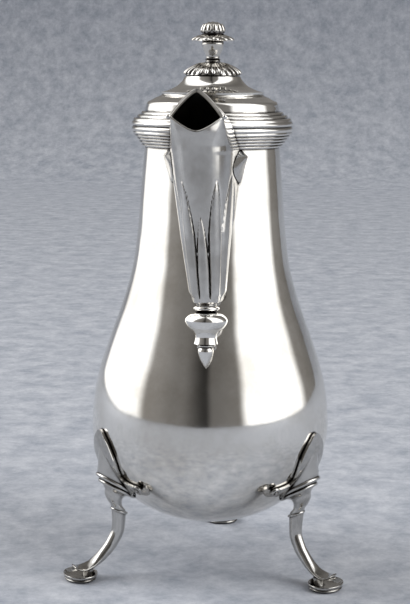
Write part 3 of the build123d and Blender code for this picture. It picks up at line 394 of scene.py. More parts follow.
# %% Lid, bezel and bush
LID_FOOT, CROWN_Z, HOLE_R = 214.7, 230.5, 8.0
SHEET = 0.9              # thickness of the lid's sheet
SEAT_R = 9.35            # the crown's edge, against the bush round the hole
lid_top = ([(30.9, LID_FOOT), (30.8, 216.2), (30.3, 217.7)]
           + bowed((30.3, 217.9), (28.3, 219.6), 0.4, 6)
           + [(26.4, 220.7), (24.6, 221.5)]
           + bowed((24.6, 221.6), (23.6, 223.5), -0.8, 8)
           + [(22.6, 223.7), (20.6, 224.2)]
           + flowing([(18.8, 224.9), (16.2, 226.3), (14.0, 228.4), (12.7, CROWN_Z)], 4)
           + [(SEAT_R, CROWN_Z)])
lid_under = [(r - SHEET * (r > 9.5), z - SHEET) for r, z in reversed(lid_top)]
lid_under[-1] = (30.0, LID_FOOT)
lid = turned("lid_dome", lid_top + lid_under, 112, close=True)
smooth(lid, 42)
keep(lid, "lid", "lid", finish=plain_silver)
bezel = turned("lid_bezel_sleeve", [(29.55, LID_FOOT), (29.55, 204.0), (29.2, 203.5), (28.9, 204.0),
                                    (28.8, LID_FOOT)], 96, close=True)
smooth(bezel)
keep(bezel, "lid", "lid_bezel", finish=inner_silver)
bush = turned("hole_bush", [(HOLE_R, 227.5), (HOLE_R, 230.2), (8.3, CROWN_Z), (9.3, CROWN_Z),
                            (9.3, 227.5)], 64, close=True)
smooth(bush)
keep(bush, "lid", "stirrer_bush", finish=joint_silver)

# %% [markdown]
# ## The finial
# A cap, a vase-shaped stem, a skirt of petals and a bud stand on one plate, with a rod
# through them all. Cap, skirt and bud are gadrooned: a row of fat drops, wide at the rim
# and thin at the top, lies side by side over a turned core. One drop is made from a sphere,
# then copied round, as a chaser repeats one stroke of the punch.

# %% One gadroon, copied round the axis
def joined(name, pieces):
    """One object from several, under one name."""
    fresh()
    for piece in pieces:
        piece.select_set(True)
    bpy.context.view_layer.objects.active = pieces[0]
    bpy.ops.object.join()
    pieces[0].name = pieces[0].data.name = name
    return pieces[0]


HEAD_THINS = 0.4         # how much less a drop stands out at its head than at its foot


def gadroons(name, count, foot, head, wide, narrow, deep):
    """Drops from head (top) to foot, both (radius, height); half-widths wide and narrow."""
    fresh()
    (foot_r, foot_z), (head_r, head_z) = foot, head
    length = sqrt((foot_r - head_r) ** 2 + (foot_z - head_z) ** 2)
    bpy.ops.mesh.primitive_uv_sphere_add(segments=14, ring_count=10, radius=1)
    drop = begin_edit(name)
    bpy.ops.transform.resize(value=(wide * MM, deep * MM, length / 2 * MM))
    bpy.ops.object.mode_set(mode="OBJECT")
    for vertex in drop.data.vertices:
        share = vertex.co.z / (length * MM) + 0.5
        vertex.co.x *= 1 - (1 - narrow / wide) * share
        vertex.co.y *= 1 - HEAD_THINS * share
    drop.location = (0, -(foot_r + head_r) / 2 * MM, (foot_z + head_z) / 2 * MM)
    drop.rotation_euler = (atan2(head_r - foot_r, head_z - foot_z), 0, 0)
    settle(drop)
    copies = []
    for i in range(count):
        copy = bpy.data.objects.new(name, drop.data.copy())
        bpy.context.scene.collection.objects.link(copy)
        copy.rotation_euler = (0, 0, 2 * pi * (i + 0.5) / count)
        copy.location = (0, AXIS_Y * MM, 0)
        copies.append(settle(copy))
    bpy.data.objects.remove(drop)
    return joined(name, copies)


# %% Cap
cap_dome = turned("cap", [(12.25, 230.65), (12.6, 231.2), (12.2, 232.4), (10.6, 234.0), (8.4, 235.4),
                          (6.0, 236.4), (4.3, 236.9), (1.3, 237.05), (1.3, 235.6), (4.4, 235.4),
                          (8.2, 233.9), (12.0, 231.5)], 96, close=True)
cap_drops = gadroons("cap_drops", 24, (13.3, 231.7), (5.0, 236.6), 1.66, 0.6, 1.45)
cap = joined("gadrooned_cap", [cap_dome, cap_drops])
smooth(cap)
keep(cap, "finial", "finial_cap", finish=chased_silver)

# %% Vase stem and petals
ROD_R = 1.25             # the hole for the rod that holds the turnings together
STEM_FOOT, STEM_HEAD, PETALS_HEAD = 237.1, 247.1, 249.7
vase = turned("vase_stem", [(ROD_R, STEM_FOOT)]
              + bowed((3.7, STEM_FOOT), (3.7, 238.3), -0.4, 6) + [(3.0, 238.4)]
              + flowing([(3.1, 238.7), (3.1, 239.6), (3.6, 240.9), (4.6, 243.2), (5.05, 245.2),
                         (4.8, 246.4), (4.2, STEM_HEAD)], 4)
              + [(ROD_R, STEM_HEAD)], 56, close=True)
smooth(vase)
keep(vase, "finial", "finial_baluster", finish=chased_silver)
skirt = turned("petal_skirt", [(ROD_R, STEM_HEAD), (5.4, STEM_HEAD), (9.0, 246.4), (9.5, 246.9),
                               (8.8, 247.6), (6.8, 248.7), (4.8, PETALS_HEAD), (ROD_R, PETALS_HEAD)],
               64, close=True)
petals = gadroons("petals", 12, (9.9, 246.7), (5.0, 249.1), 2.1, 1.0, 0.95)
calyx = joined("drooping_petals", [skirt, petals])
smooth(calyx)
keep(calyx, "finial", "finial_calyx", finish=chased_silver)

# %% Bud
BUD_FOOT, BUTTON_Z = 249.75, 254.5
core = turned("bud_core", [(ROD_R, BUD_FOOT), (4.9, BUD_FOOT), (5.3, 251.0), (4.9, 252.6), (4.2, 253.9),
                           (3.0, 254.6), (1.3, 254.9), (ROD_R, 252.0)], 56, close=True)
bud_lobes = gadroons("bud_lobes", 12, (5.3, 250.2), (4.1, 254.3), 1.38, 1.0, 0.98)
crown = gadroons("crown", 8, (3.0, 254.0), (1.3, 254.9), 1.0, 0.55, 0.6)
fresh()
button_place = Vector((0, AXIS_Y, BUTTON_Z)) * MM
bpy.ops.mesh.primitive_uv_sphere_add(segments=16, ring_count=10, radius=1.1 * MM, location=button_place)
button = begin_edit("button")
bpy.ops.transform.resize(value=(1, 1, 0.7), center_override=button_place)
end_edit()
settle(button)
bud = joined("gadrooned_bud", [core, bud_lobes, crown, button])
smooth(bud)
keep(bud, "finial", "finial_bud", finish=chased_silver)

# %% [markdown]
# ## The beak
# A beak like this is raised in one sheet, folded into a U and soldered to the neck. Its
# front carries five lancet-shaped flutes. The sheet starts as a flat grid: across it runs
# the U, and up it runs the height. Each point is put where the U of its height says, the
# flutes are pushed out of it, and the wall gets its thickness at the end.

# %% A sheet from a grid
def sheet(name, across, up, place):
    """A grid whose points are put in place by place(u, v), with u and v from 0 to 1."""
    fresh()
    bpy.ops.mesh.primitive_grid_add(x_subdivisions=across, y_subdivisions=up, size=1)
    piece = bpy.context.object
    piece.name = piece.data.name = name
    for vertex in piece.data.vertices:
        x, y, z = place(vertex.co.x + 0.5, vertex.co.y + 0.5)
        vertex.co = Vector((x, y + AXIS_Y, z)) * MM
    return piece


LEAN, LEAN_Z = 3.0, 186.0    # degrees out of plumb; on the pot's own plane at this height


def leaning(point):
    """Leans a point of the beak sideways."""
    x, y, z = point
    return (x - (z - LEAN_Z) * sin(radians(LEAN)), y, z)


print("the lip stands", round(-leaning((0, 0, JOINT_Z))[0], 2), "mm aside")

# %% The U of the beak at each height
BEAK_FOOT, SHEET_FOOT = 133.1, 135.5     # the closed tip at the foot, and where the U starts
LIP_Z, CORNER_Z = 207.7, 214.0           # upper edge in the middle, and at the mouth's corners
FRONT = 0.55                             # share of the U that faces forward
FRONT_BOW = 4.2                          # how far the front's middle stands before its corners
SUNK = 0.4                               # how deep the beak's edges stand in the neck's wall
REEDS_R, REEDS_SLOPE = 32.2, 0.56        # the edges on the collar, from its foot up
BACK_R, BACK_SLOPE = 37.6, 0.62          # and over the joint, leaning out with height
SOFT, SOFT_TOP = 0.24, 0.04              # share of the U that rounds its corners, low and at the top
SOFT_Z, SOFT_END = 202, 214              # heights between which the one becomes the other
SAMPLES = 4                              # points averaged on each side
#            height, half-width in front, half-width at the neck, reach
beak_rows = [(SHEET_FOOT, 6.6, 7.4, 55.4), (150.1, 7.9, 9.3, 56.4), (167.1, 9.1, 11.8, 57.6),
             (183.1, 10.5, 14.4, 58.7), (198.8, 11.4, 15.8, 59.5), (208.1, 11.5, 14.0, 60.0),
             (CORNER_Z, 11.5, 11.9, 60.0)]


def between(rows, z):
    """Reads a table of (height, value, value, ...) at a height."""
    if z <= rows[0][0]:
        return rows[0][1:]
    for low, high in zip(rows, rows[1:]):
        if z <= high[0]:
            t = (z - low[0]) / (high[0] - low[0])
            return [a + (b - a) * t for a, b in zip(low[1:], high[1:])]
    return rows[-1][1:]


def wall_radius(z):
    """Outer radius of the body at a height."""
    for (ra, za), (rb, zb) in zip(outside, outside[1:]):
        if za <= z <= zb and zb > za:
            return ra + (rb - ra) * (z - za) / (zb - za)
    return outside[-1][0]


def landing(z):
    """How far from the axis the beak's back edge stands: in the wall, on the reeds, or free."""
    if z < COLLAR_FOOT:
        return wall_radius(z) - SUNK
    if z < JOINT_Z:
        return REEDS_R + (z - COLLAR_FOOT) * REEDS_SLOPE
    return BACK_R + (z - JOINT_Z) * BACK_SLOPE


def u_point(t, z):
    """Plain point of the U, t from -1 at the left of the neck to 1 at its right."""
    front, base, reach = between(beak_rows, z)
    side = 1 if t >= 0 else -1
    share = abs(t)
    if share <= FRONT:
        k = share / FRONT
        return Vector((side * front * k, -reach + FRONT_BOW * k * k))
    k = (share - FRONT) / (1 - FRONT)
    back = landing(z)
    edge_y = -sqrt(max(back ** 2 - base ** 2, 1)) if z < JOINT_Z else -back
    return Vector((side * (front + (base - front) * k),
                   (-reach + FRONT_BOW) + (edge_y + reach - FRONT_BOW) * k))


def soft_u(t, z):
    """The same point with the corners rounded, as the mean of points on both sides of it."""
    spread = SOFT - (SOFT - SOFT_TOP) * min(max((z - SOFT_Z) / (SOFT_END - SOFT_Z), 0), 1)
    room = min(spread, 1 - abs(t))
    steps = [u_point(t + room * k / SAMPLES, z) for k in range(-SAMPLES, SAMPLES + 1)]
    return sum(steps, Vector((0, 0))) / len(steps)


print("reach at the lip:", between(beak_rows, LIP_Z)[2])

# %% The flutes
FLUTE_RISE = 2.5         # height of a flute's round before it is let into the sheet
FLUTE_SUNK = 0.55        # the share of that height that is let in
FLUTE_TIP = 24           # millimetres over which a flute narrows to its tip
FLUTE_FADE = 30          # and over which it flattens out there
FLUTE_FOOT, FOOT_FADE = 135.2, 2.5       # where a flute starts, and how soon it is fully raised
VALLEY = 0.03            # width of the groove beside a flute, as a share of the U
#          centre, half-width across the U, height of the tip
flutes = [(0.0, 0.20, 171.5), (-0.39, 0.19, 187.0), (0.39, 0.19, 187.0), (-0.78, 0.20, 188.0),
          (0.78, 0.20, 188.0)]


def flute_height(t, z):
    """How far the sheet is pushed out at a point, or in where a groove runs."""
    most = 0.0
    for centre, half, tip in flutes:
        left = tip - z
        if left <= 0:
            continue
        half *= min(1.0, (left / FLUTE_TIP) ** 0.62)
        across = abs(t - centre) / half
        deep = (FLUTE_RISE * min(1.0, 0.15 + left / FLUTE_FADE)
                * min(1.0, max(z - FLUTE_FOOT, 0) / FOOT_FADE))
        if across < 1:
            rise = deep * (sqrt(1 - across ** 2) - FLUTE_SUNK)
        else:
            rise = -FLUTE_SUNK * deep * max(0.0, 1 - (across - 1) * half / VALLEY)
        most = rise if abs(rise) > abs(most) else most
    return most


def beak_point(t, z):
    """Point on the outside of the beak, flutes and lean included."""
    here = soft_u(t, z)
    step = 0.01
    ahead, behind = soft_u(min(t + step, 1), z), soft_u(max(t - step, -1), z)
    out = Vector(((ahead - behind).y, -(ahead - behind).x)).normalized()
    here += out * flute_height(t, z)
    return leaning((here.x, here.y, z))


print("middle flute stands out", round(flute_height(0, 150), 2), "mm")

# %% Front and cheeks
COLUMNS, ROWS = 120, 120
FOOT_ROWS = 0.05         # share of the rows that closes the foot
CREEP, CREEP_END = 0.06, 0.4             # over their first part they draw in only this little
FLAT_FROM = 0.6                          # and from here on they run level to the wall
FOOT_WALL = landing(134.0)               # the wall that they meet


def top_edge(t):
    """Height of the beak's upper edge: the lip in front, the roof's eaves on the cheeks."""
    share = abs(t)
    if share <= FRONT:
        return LIP_Z + (CORNER_Z - LIP_Z) * (share / FRONT) ** 1.5
    return CORNER_Z


def beak_place(u, v):
    """The U from its foot to the upper edge; the lowest rows round under and back to the wall."""
    t = u * 2 - 1
    if v < FOOT_ROWS:
        k = 1 - v / FOOT_ROWS
        x, y, _ = beak_point(t, SHEET_FOOT)
        pull = CREEP * (k / CREEP_END) ** 2
        if k > CREEP_END:
            pull = CREEP + (1 - CREEP) * (k - CREEP_END) / (1 - CREEP_END)
        z = SHEET_FOOT - (SHEET_FOOT - BEAK_FOOT) * sin(pi / 2 * min(1.0, k / FLAT_FROM))
        return (x * (1 - pull), y + (-FOOT_WALL - y) * pull, z)
    k = (v - FOOT_ROWS) / (1 - FOOT_ROWS)
    return beak_point(t, SHEET_FOOT + (top_edge(t) - SHEET_FOOT) * k)


beak_front = sheet("beak", COLUMNS, ROWS, beak_place)
print("beak sheet:", len(beak_front.data.vertices), "points")

# %% [markdown]
# ## The hood over the mouth
# One bent sheet bridges the mouth's two corners and runs back to the lid, and another
# closes the beak behind the mouth. Both are grids like the front, because a height and a
# distance from the middle say where each of their points belongs.

# %% Roof and back wall
LIP_REACH, MOUTH_SLOPE = 60.0, 0.583     # the mouth slopes back from the lip
ROOF_HALF, ROOF_RISE = 11.55, 11.3
BACK_HEAD = 225.0
BACK_HALF, BACK_NARROWS = 14.0, 0.36     # half-width at the joint, and its loss per millimetre up
HOOD_HALF = 11.9                         # half-width just under the hood
HOOD_END, HOOD_SLOPE = 226.7, 1.104      # where its sides would meet, and how steep they are


def mouth_y(z):
    return -LIP_REACH + MOUTH_SLOPE * (z - LIP_Z)


def back_y(z):
    return -BACK_R - BACK_SLOPE * (z - JOINT_Z)


def roof_z(x):
    """Height of the hood at a distance x from its middle."""
    return CORNER_Z + ROOF_RISE * (1 - (abs(x) / ROOF_HALF) ** 1.4)


def roof_place(u, v):
    """The hood, from the mouth (v = 0) back to the back wall."""
    x = (u * 2 - 1) * ROOF_HALF
    z = roof_z(x)
    return leaning((x, mouth_y(z) * (1 - v) + back_y(z) * v, z))


def back_place(u, v):
    """The wall behind the mouth: as wide as the cheeks, then as narrow as the hood."""
    z = JOINT_Z + 0.1 + v * (BACK_HEAD - JOINT_Z)
    if z < CORNER_Z:
        half = BACK_HALF - (z - JOINT_Z) * BACK_NARROWS
    else:
        half = min(HOOD_HALF, (HOOD_END - z) / HOOD_SLOPE)
    return leaning(((u * 2 - 1) * half, back_y(z), z))


roof = sheet("beak_roof", 40, 16, roof_place)
back_wall = sheet("beak_back", 24, 24, back_place)
for piece, inward in ((beak_front, -1), (roof, -1), (back_wall, 1)):
    apply(piece, "SOLIDIFY", thickness=WALL * MM, offset=inward)
beak = joined("beak", [beak_front, roof, back_wall])
smooth(beak, 50)
print("beak with hood:", len(beak.data.polygons), "faces")

# %% [markdown]
# ## Wings, pearls and rim
# A pointed lobe covers the seam between each cheek and the neck, a pearl sits on each
# corner of the mouth, and the mouth's edge is rolled. The lobes are grids again and the
# pearls are spheres. The rolled edge is a closed line with a round section, which is how a
# wire would be laid along the edge.

# %% Wings and pearls
WING_FOOT, WING_TALL, WING_T = 183.3, 15.5, 0.5
WING_X, WING_SPREAD = 14.9, 0.9          # the wing's line beside the beak, and how it spreads upwards
WING_IN, WING_OUT, WIDEST = 2.0, 3.1, 0.8        # reach over the cheek and the neck; where it is widest
WING_BULGE = 0.6                         # how far its middle stands forward
PROUD_IN, PROUD_OUT = 0.25, 0.15         # how far its two edges stand before cheek and neck
PEARL_R, PEARL_X, PEARL_BACK = 1.1, 12.0, 0.9


def wing_place(side, u, v):
    """A pointed lobe that covers the seam between cheek (u = 0) and neck (u = 1)."""
    belly = sin(pi * v)
    z = WING_FOOT + WING_TALL * v
    inner_x = WING_X + WING_SPREAD * v - WING_IN * belly
    outer_x = WING_X + WING_SPREAD * v + WING_OUT * min(v / WIDEST, (1 - v) / (1 - WIDEST))
    front, base, reach = between(beak_rows, z)
    k = (inner_x - front) / (base - front)
    wall = wall_radius(z)
    inner_y = (-reach + FRONT_BOW) * (1 - k) - sqrt(wall ** 2 - base ** 2) * k - PROUD_IN
    outer_y = -sqrt(wall ** 2 - outer_x ** 2) - PROUD_OUT
    x = inner_x + (outer_x - inner_x) * u
    y = inner_y + (outer_y - inner_y) * u - WING_BULGE * sin(pi * u) * belly
    return leaning((side * x, y, z))


trims = []
for side in (-1, 1):
    wing = sheet("wing", 10, 24, lambda u, v: wing_place(side, u, v))
    apply(wing, "SOLIDIFY", thickness=WING_T * MM, offset=0)
    fresh()
    bpy.ops.mesh.primitive_uv_sphere_add(segments=20, ring_count=12, radius=PEARL_R * MM)
    pearl = bpy.context.object
    x, y, z = leaning((side * PEARL_X, mouth_y(CORNER_Z) + PEARL_BACK, CORNER_Z))
    pearl.location = Vector((x, y + AXIS_Y, z)) * MM
    trims += [wing, settle(pearl)]
print("wings and pearls:", len(trims))

# %% The rolled rim of the mouth
ROLL_R = 0.62
ROLL_BACK = 0.6          # the roll's middle lies this far behind the sheet's edge
CORNER_X = 11.5


def rim_points(steps=24):
    """The mouth's edge: up over the hood from one corner to the other, and back along the lip."""
    way = [2 * i / steps - 1 for i in range(steps)]
    over = [leaning((x, mouth_y(roof_z(x)), roof_z(x))) for x in (CORNER_X * k for k in way)]
    lip = [beak_point(t, top_edge(t)) for t in (-FRONT * k for k in way)]
    return [(x, y + ROLL_BACK, z) for x, y, z in over + lip]


fresh()
bpy.ops.curve.primitive_bezier_circle_add()
wire = bpy.context.object
wire.name = "mouth_rim"
wire.data.splines.clear()
spline = wire.data.splines.new("POLY")
edge = rim_points()
spline.points.add(len(edge) - 1)
for point, (x, y, z) in zip(spline.points, edge):
    point.co = (x * MM, (y + AXIS_Y) * MM, z * MM, 1)
spline.use_cyclic_u = True
wire.data.bevel_depth = ROLL_R * MM
wire.data.bevel_resolution = 3
bpy.ops.object.convert(target="MESH")
beak = joined("beak", [beak, bpy.context.object] + trims)
smooth(beak, 50)
keep(beak, "pot", "spout", finish=beak_silver)

# %% [markdown]
# ## The drop
# The turned drop closes the beak's foot. It is drawn on the pot's axis like every turning,
# then tipped a little away from the belly and moved under the beak.

# %% Turn the drop, tip it and hang it
DROP_X, DROP_Y, DROP_TIP = 2.8, -49.5, 5.0       # place under the beak, and degrees from plumb
drop = turned("drop", [(0.01, 133.2), (4.4, 133.2), (4.4, 132.4)]
              + bowed((4.4, 132.3), (4.4, 129.7), -1.4, 10)
              + flowing([(4.3, 129.6), (7.4, 128.4), (9.35, 125.9), (8.2, 122.9), (5.9, 120.9),
                         (5.0, 119.9)], 4)
              + flowing([(4.8, 119.2), (4.7, 118.3), (5.3, 115.5)], 4) + [(3.7, 115.4)]
              + bowed((3.7, 115.3), (3.3, 114.2), -0.5, 6)
              + flowing([(2.9, 114.0), (3.5, 112.4), (2.9, 109.6), (1.5, 107.0), (0.01, 105.3)], 5), 72)
tip = radians(DROP_TIP)
for vertex in drop.data.vertices:
    x, y, z = vertex.co / MM
    y, up = y - AXIS_Y, z - BEAK_FOOT
    y, up = y * cos(tip) + up * sin(tip), up * cos(tip) - y * sin(tip)
    vertex.co = Vector((x + DROP_X, y + DROP_Y + AXIS_Y, BEAK_FOOT + up)) * MM
smooth(drop, 40)
keep(drop, "pot", "spout_drop", finish=plain_silver)

# %% [markdown]
# ## The legs
# Each leg is cast: a broad knee under a shield, a waisted neck, a ring, a thin curved shaft
# and a leaf that curls up over the pad. A cast leg has an oval section everywhere, so the
# leg is a sheet whose one side runs round the oval and whose other side runs down the leg,
# and its mouldings are bands wrapped round the same ovals. The rear leg is made once, and
# the other two are copies turned by a third of a circle.

# %% A leg from its sections
LEG_LEAN = 3.4           # degrees round the pot by which a leg's top stands off its foot
KNEE, ANKLE = (48.5, 44.3), (47.4, 31.4)
TIP_SHARE = 1 / 60       # the share of the leg over which the leaf's end closes
#            reach, height, half-width, half-depth, tilt in degrees
leg_rows = [(46.3, 58.0, 7.8, 12.2, 31), (46.8, 53.5, 9.0, 12.0, 31), (47.3, 49.0, 9.4, 11.5, 31),
            (*KNEE, 9.2, 10.4, 31), (48.9, 42.2, 7.6, 8.2, 30), (49.8, 40.2, 5.0, 4.9, 28),
            (50.3, 38.0, 4.4, 4.3, 25), (49.5, 35.2, 3.5, 3.7, 24), (47.9, 33.0, 3.6, 3.7, 23),
            (47.4, 28.2, 3.2, 3.2, 6), (47.7, 21.8, 3.0, 3.0, 14), (50.9, 15.2, 2.9, 2.8, 36),
            (55.7, 9.9, 3.2, 2.4, 50), (60.3, 6.6, 4.0, 1.6, 66), (64.6, 5.4, 4.7, 1.05, 88),
            (67.4, 5.7, 4.3, 0.8, 104), (69.3, 6.9, 2.8, 0.55, 120)]


def round_pot(point, angle):
    """Turns a point about the pot's axis; the point's Y is its distance behind the axis."""
    x, y, z = point
    a = radians(angle)
    return (x * cos(a) - y * sin(a), x * sin(a) + y * cos(a), z)


def oval_point(row, turn, grow=0.0, lift=0.0):
    """A point of the oval, standing out by grow and lifted along the leg by lift."""
    reach, z, half_w, half_d, tilt = row
    t = radians(tilt)
    across, deep = (half_w + grow) * cos(turn), (half_d + grow) * sin(turn)
    point = (across, reach + deep * cos(t) - lift * sin(t), z + deep * sin(t) + lift * cos(t))
    return round_pot(point, LEG_LEAN * min(1.0, z / ANKLE[1]))


def smooth_rows(rows, per):
    """Rows of a table with smooth steps between them."""
    lines = [flowing([(i, row[k]) for i, row in enumerate(rows)], per) for k in range(len(rows[0]))]
    return [[line[i][1] for line in lines] for i in range(len(lines[0]))]


def row_at(rows, share):
    """The row that lies this share of the way down a table."""
    at = share * (len(rows) - 1)
    low = min(int(at), len(rows) - 2)
    return [a + (b - a) * (at - low) for a, b in zip(rows[low], rows[low + 1])]


def closed(piece):
    """Welds a sheet's seam and turns its faces outwards."""
    pick(piece)
    begin_edit(piece.name)
    end_edit(0.01)
    return piece


fine_rows = smooth_rows(leg_rows, 8)


def leg_place(u, v):
    row = row_at(fine_rows, v)
    if v > 1 - TIP_SHARE:
        ends = sqrt(max(0.0, 1 - (1 - (1 - v) / TIP_SHARE) ** 2))
        row[2], row[3] = max(row[2] * ends, 0.001), max(row[3] * ends, 0.001)
    return oval_point(row, 2 * pi * u)


leg_tube = closed(sheet("leg", 32, 130, leg_place))
print("leg:", len(fine_rows), "sections,", len(leg_tube.data.polygons), "faces")


# %% Mouldings round the knee and the ankle
def moulding(name, row, bead, squash=0.85):
    """A half-round band wrapped round the leg's oval."""
    def place(u, v):
        a = 2 * pi * v
        return oval_point(row, 2 * pi * u, grow=bead * cos(a), lift=bead * squash * sin(a))
    return closed(sheet(name, 72, 12, place))


knee_high = moulding("knee_high", (*KNEE, 9.1, 10.3, 31), 0.95, 1.0)
knee_low = moulding("knee_low", (48.5, 42.2, 8.1, 8.9, 30), 0.9, 1.0)
ankle_ring = moulding("ankle_ring", (*ANKLE, 3.3, 3.5, 23), 0.85)
leg_rear = joined("leg_rear", [leg_tube, knee_high, knee_low, ankle_ring])
print("leg with mouldings:", len(leg_rear.data.polygons), "faces")

# %% [markdown]
# ## The shields
# A shield spreads the leg's load over the thin belly. It is a plate bent to the belly, with
# an arched top, and a strap that ends in a small curl on each side. The plate and the strap
# are laid as sheets on the belly's own curve and thickened towards it. A curl is a torus
# with a ball in its eye, and a smaller ball sits beside it.

# %% Plate and strap
SHIELD_T = 1.8
EDGE_R = 0.35            # rounding of the plate's and the strap's edges


def on_belly(x, z, lift):
    """Point behind the axis on the belly's surface, standing out by lift."""
    a, b = BELLY_R + lift, BELLY_DROP + lift
    level = a * sqrt(max(1 - ((z - BELLY_Z) / b) ** 2, 0.0))
    return (x, sqrt(max(level ** 2 - x ** 2, 0.0)), z)


#               height, half-width
arch = flowing([(40.0, 9.0), (44.0, 9.3), (48.0, 9.5), (52.0, 9.9), (57.8, 10.2), (62.0, 9.0),
                (66.0, 6.6), (68.6, 3.9), (70.3, 1.9), (71.0, 0.3)], 6)
#                     across, foot, head
strap = smooth_rows([(0.0, 39.6, 50.5), (9.2, 40.4, 50.2), (11.0, 41.6, 47.9), (14.0, 43.3, 47.0),
                     (17.0, 44.1, 46.6), (19.2, 44.8, 46.3), (20.0, 45.4, 45.6)], 6)


def plate_place(u, v):
    z, half = row_at(arch, v)
    return round_pot(on_belly((u * 2 - 1) * half, z, SHIELD_T), LEG_LEAN)


def strap_place(u, v):
    side = 1 if u >= 0.5 else -1
    x, foot, head = row_at(strap, abs(u * 2 - 1))
    return round_pot(on_belly(side * x, foot + (head - foot) * v, SHIELD_T - 0.05), LEG_LEAN)


plate = sheet("plate", 24, 48, plate_place)
band = sheet("strap", 80, 10, strap_place)
for piece in (plate, band):
    closed(piece)
    apply(piece, "SOLIDIFY", thickness=SHIELD_T * MM, offset=-1)
    apply(piece, "BEVEL", width=EDGE_R * MM, segments=2, limit_method="ANGLE", angle_limit=radians(50))
print("plate:", len(plate.data.polygons), "faces; strap:", len(band.data.polygons), "faces")

# %% Curls and pearls
CURL_X, CURL_Z, CURL_R, CURL_WIRE, EYE_R = 18.9, 46.0, 1.6, 0.75, 0.95
STUD_X, STUD_Z, STUD_R = 7.4, 47.7, 1.05


def on_shield(x, z):
    """A spot on the plate's face, and the way out of it."""
    spot = Vector(round_pot(on_belly(x, z, SHIELD_T), LEG_LEAN))
    out = Vector((spot.x, spot.y, (spot.z - BELLY_Z) * (BELLY_R / BELLY_DROP) ** 2)).normalized()
    return spot + Vector((0, AXIS_Y, 0)), out


def set_down(x, z, lift, turned_out=True):
    """Moves the new piece onto the shield, raised by lift."""
    trim = bpy.context.object
    spot, out = on_shield(x, z)
    if turned_out:
        trim.rotation_euler = out.to_track_quat("Z", "Y").to_euler()
    trim.location = (spot + out * lift) * MM
    return settle(trim)


trims = [plate, band]
for side in (-1, 1):
    fresh()
    bpy.ops.mesh.primitive_torus_add(major_segments=28, minor_segments=12, major_radius=CURL_R * MM,
                                     minor_radius=CURL_WIRE * MM)
    trims.append(set_down(side * CURL_X, CURL_Z, 0.15))
    fresh()
    bpy.ops.mesh.primitive_uv_sphere_add(segments=16, ring_count=10, radius=EYE_R * MM)
    trims.append(set_down(side * CURL_X, CURL_Z, 0.3, turned_out=False))
    fresh()
    bpy.ops.mesh.primitive_uv_sphere_add(segments=18, ring_count=12, radius=STUD_R * MM)
    trims.append(set_down(side * STUD_X, STUD_Z, 0.15))
shield_rear = joined("shield_rear", trims)
print("shield:", len(shield_rear.data.polygons), "faces")

# %% [markdown]
# ## The pads
# The pot stands on three shallow oval pads, like the bowl of a spoon, each with a rolled rim
# and a groove under it. A pad is turned round and then squeezed to its oval.

# %% Pad and stem
FOOT_REACH = 65.4
PAD_LONG, PAD_WIDE = 7.8, 9.0            # half-lengths along the leg and across it
pad = turned("pad", [(0.0, 0.02), (6.4, 0.02), (7.6, 0.25), (8.35, 0.75), (8.45, 1.05), (8.15, 1.35),
                     (8.1, 1.6), (8.6, 2.05), (8.97, 2.6), (PAD_WIDE, 2.95), (8.85, 3.18), (8.55, 3.2),
                     (8.25, 2.95), (7.4, 2.1), (5.6, 1.35), (3.0, 1.12), (0.0, 1.08)], 56, around=(0, 0))
begin_edit("pad")
bpy.ops.transform.resize(value=(1, PAD_LONG / PAD_WIDE, 1))
end_edit()
stem = turned("stem", [(0.0, 0.9), (2.9, 0.9), (2.5, 1.6), (2.4, 4.6), (0.0, 4.6)], 32, around=(0, -3.9))
foot_rear = joined("foot_rear", [pad, stem])
foot_rear.location = (0, (FOOT_REACH + AXIS_Y) * MM, 0)
settle(foot_rear)
print("pad:", len(foot_rear.data.polygons), "faces")

# %% Three of each
for piece in (leg_rear, shield_rear, foot_rear):
    smooth(piece, 45)
    kind = piece.name.split("_")[0]
    copies = {"rear": piece}
    for place, angle in (("left", 120), ("right", 240)):
        copy = bpy.data.objects.new(f"{kind}_{place}", piece.data.copy())
        bpy.context.scene.collection.objects.link(copy)
        to_axis = Matrix.Translation((0, AXIS_Y * MM, 0))
        copy.data.transform(to_axis @ Matrix.Rotation(radians(angle), 4, "Z") @ to_axis.inverted())
        copies[place] = copy
    for place, copy in copies.items():
        copy.name = copy.data.name = f"cast_{kind}_{place}"
        keep(copy, "pot", f"{kind}_{place}", finish=cast_silver)

# %% [markdown]
# ## Cloth, light and camera
# The pot stands on one sweep of pale grey-blue cloth, which runs up behind it in a soft
# curve. The room is a soft studio: a broad bright panel on each side and a dimmer middle,
# so that the round silver shows two upright bands with soft edges. The camera itself sees
# a pale backdrop in the room's place. Two large lamps give the feet their soft shadows.

# %% The cloth sweep
scene = bpy.context.scene
scene.view_settings.view_transform = "Standard"
FLAT, BEND, RISE = 4.6, 0.4, 0.1         # metres of floor, radius of the curve, metres of wall
WIDE, FRONT_EDGE = 4.4, -2.4             # metres across, and where the floor begins
fresh()
bpy.ops.mesh.primitive_grid_add(x_subdivisions=4, y_subdivisions=96, size=1)
cloth = bpy.context.object
cloth.name = "floor"
arc = BEND * pi / 2
for vertex in cloth.data.vertices:
    run = (vertex.co.y + 0.5) * (FLAT + arc + RISE)
    turn = min(max(run - FLAT, 0), arc) / BEND
    vertex.co = (vertex.co.x * WIDE, min(run, FLAT) + FRONT_EDGE + BEND * sin(turn),
                 BEND * (1 - cos(turn)) + max(run - FLAT - arc, 0))
smooth(cloth, 60)

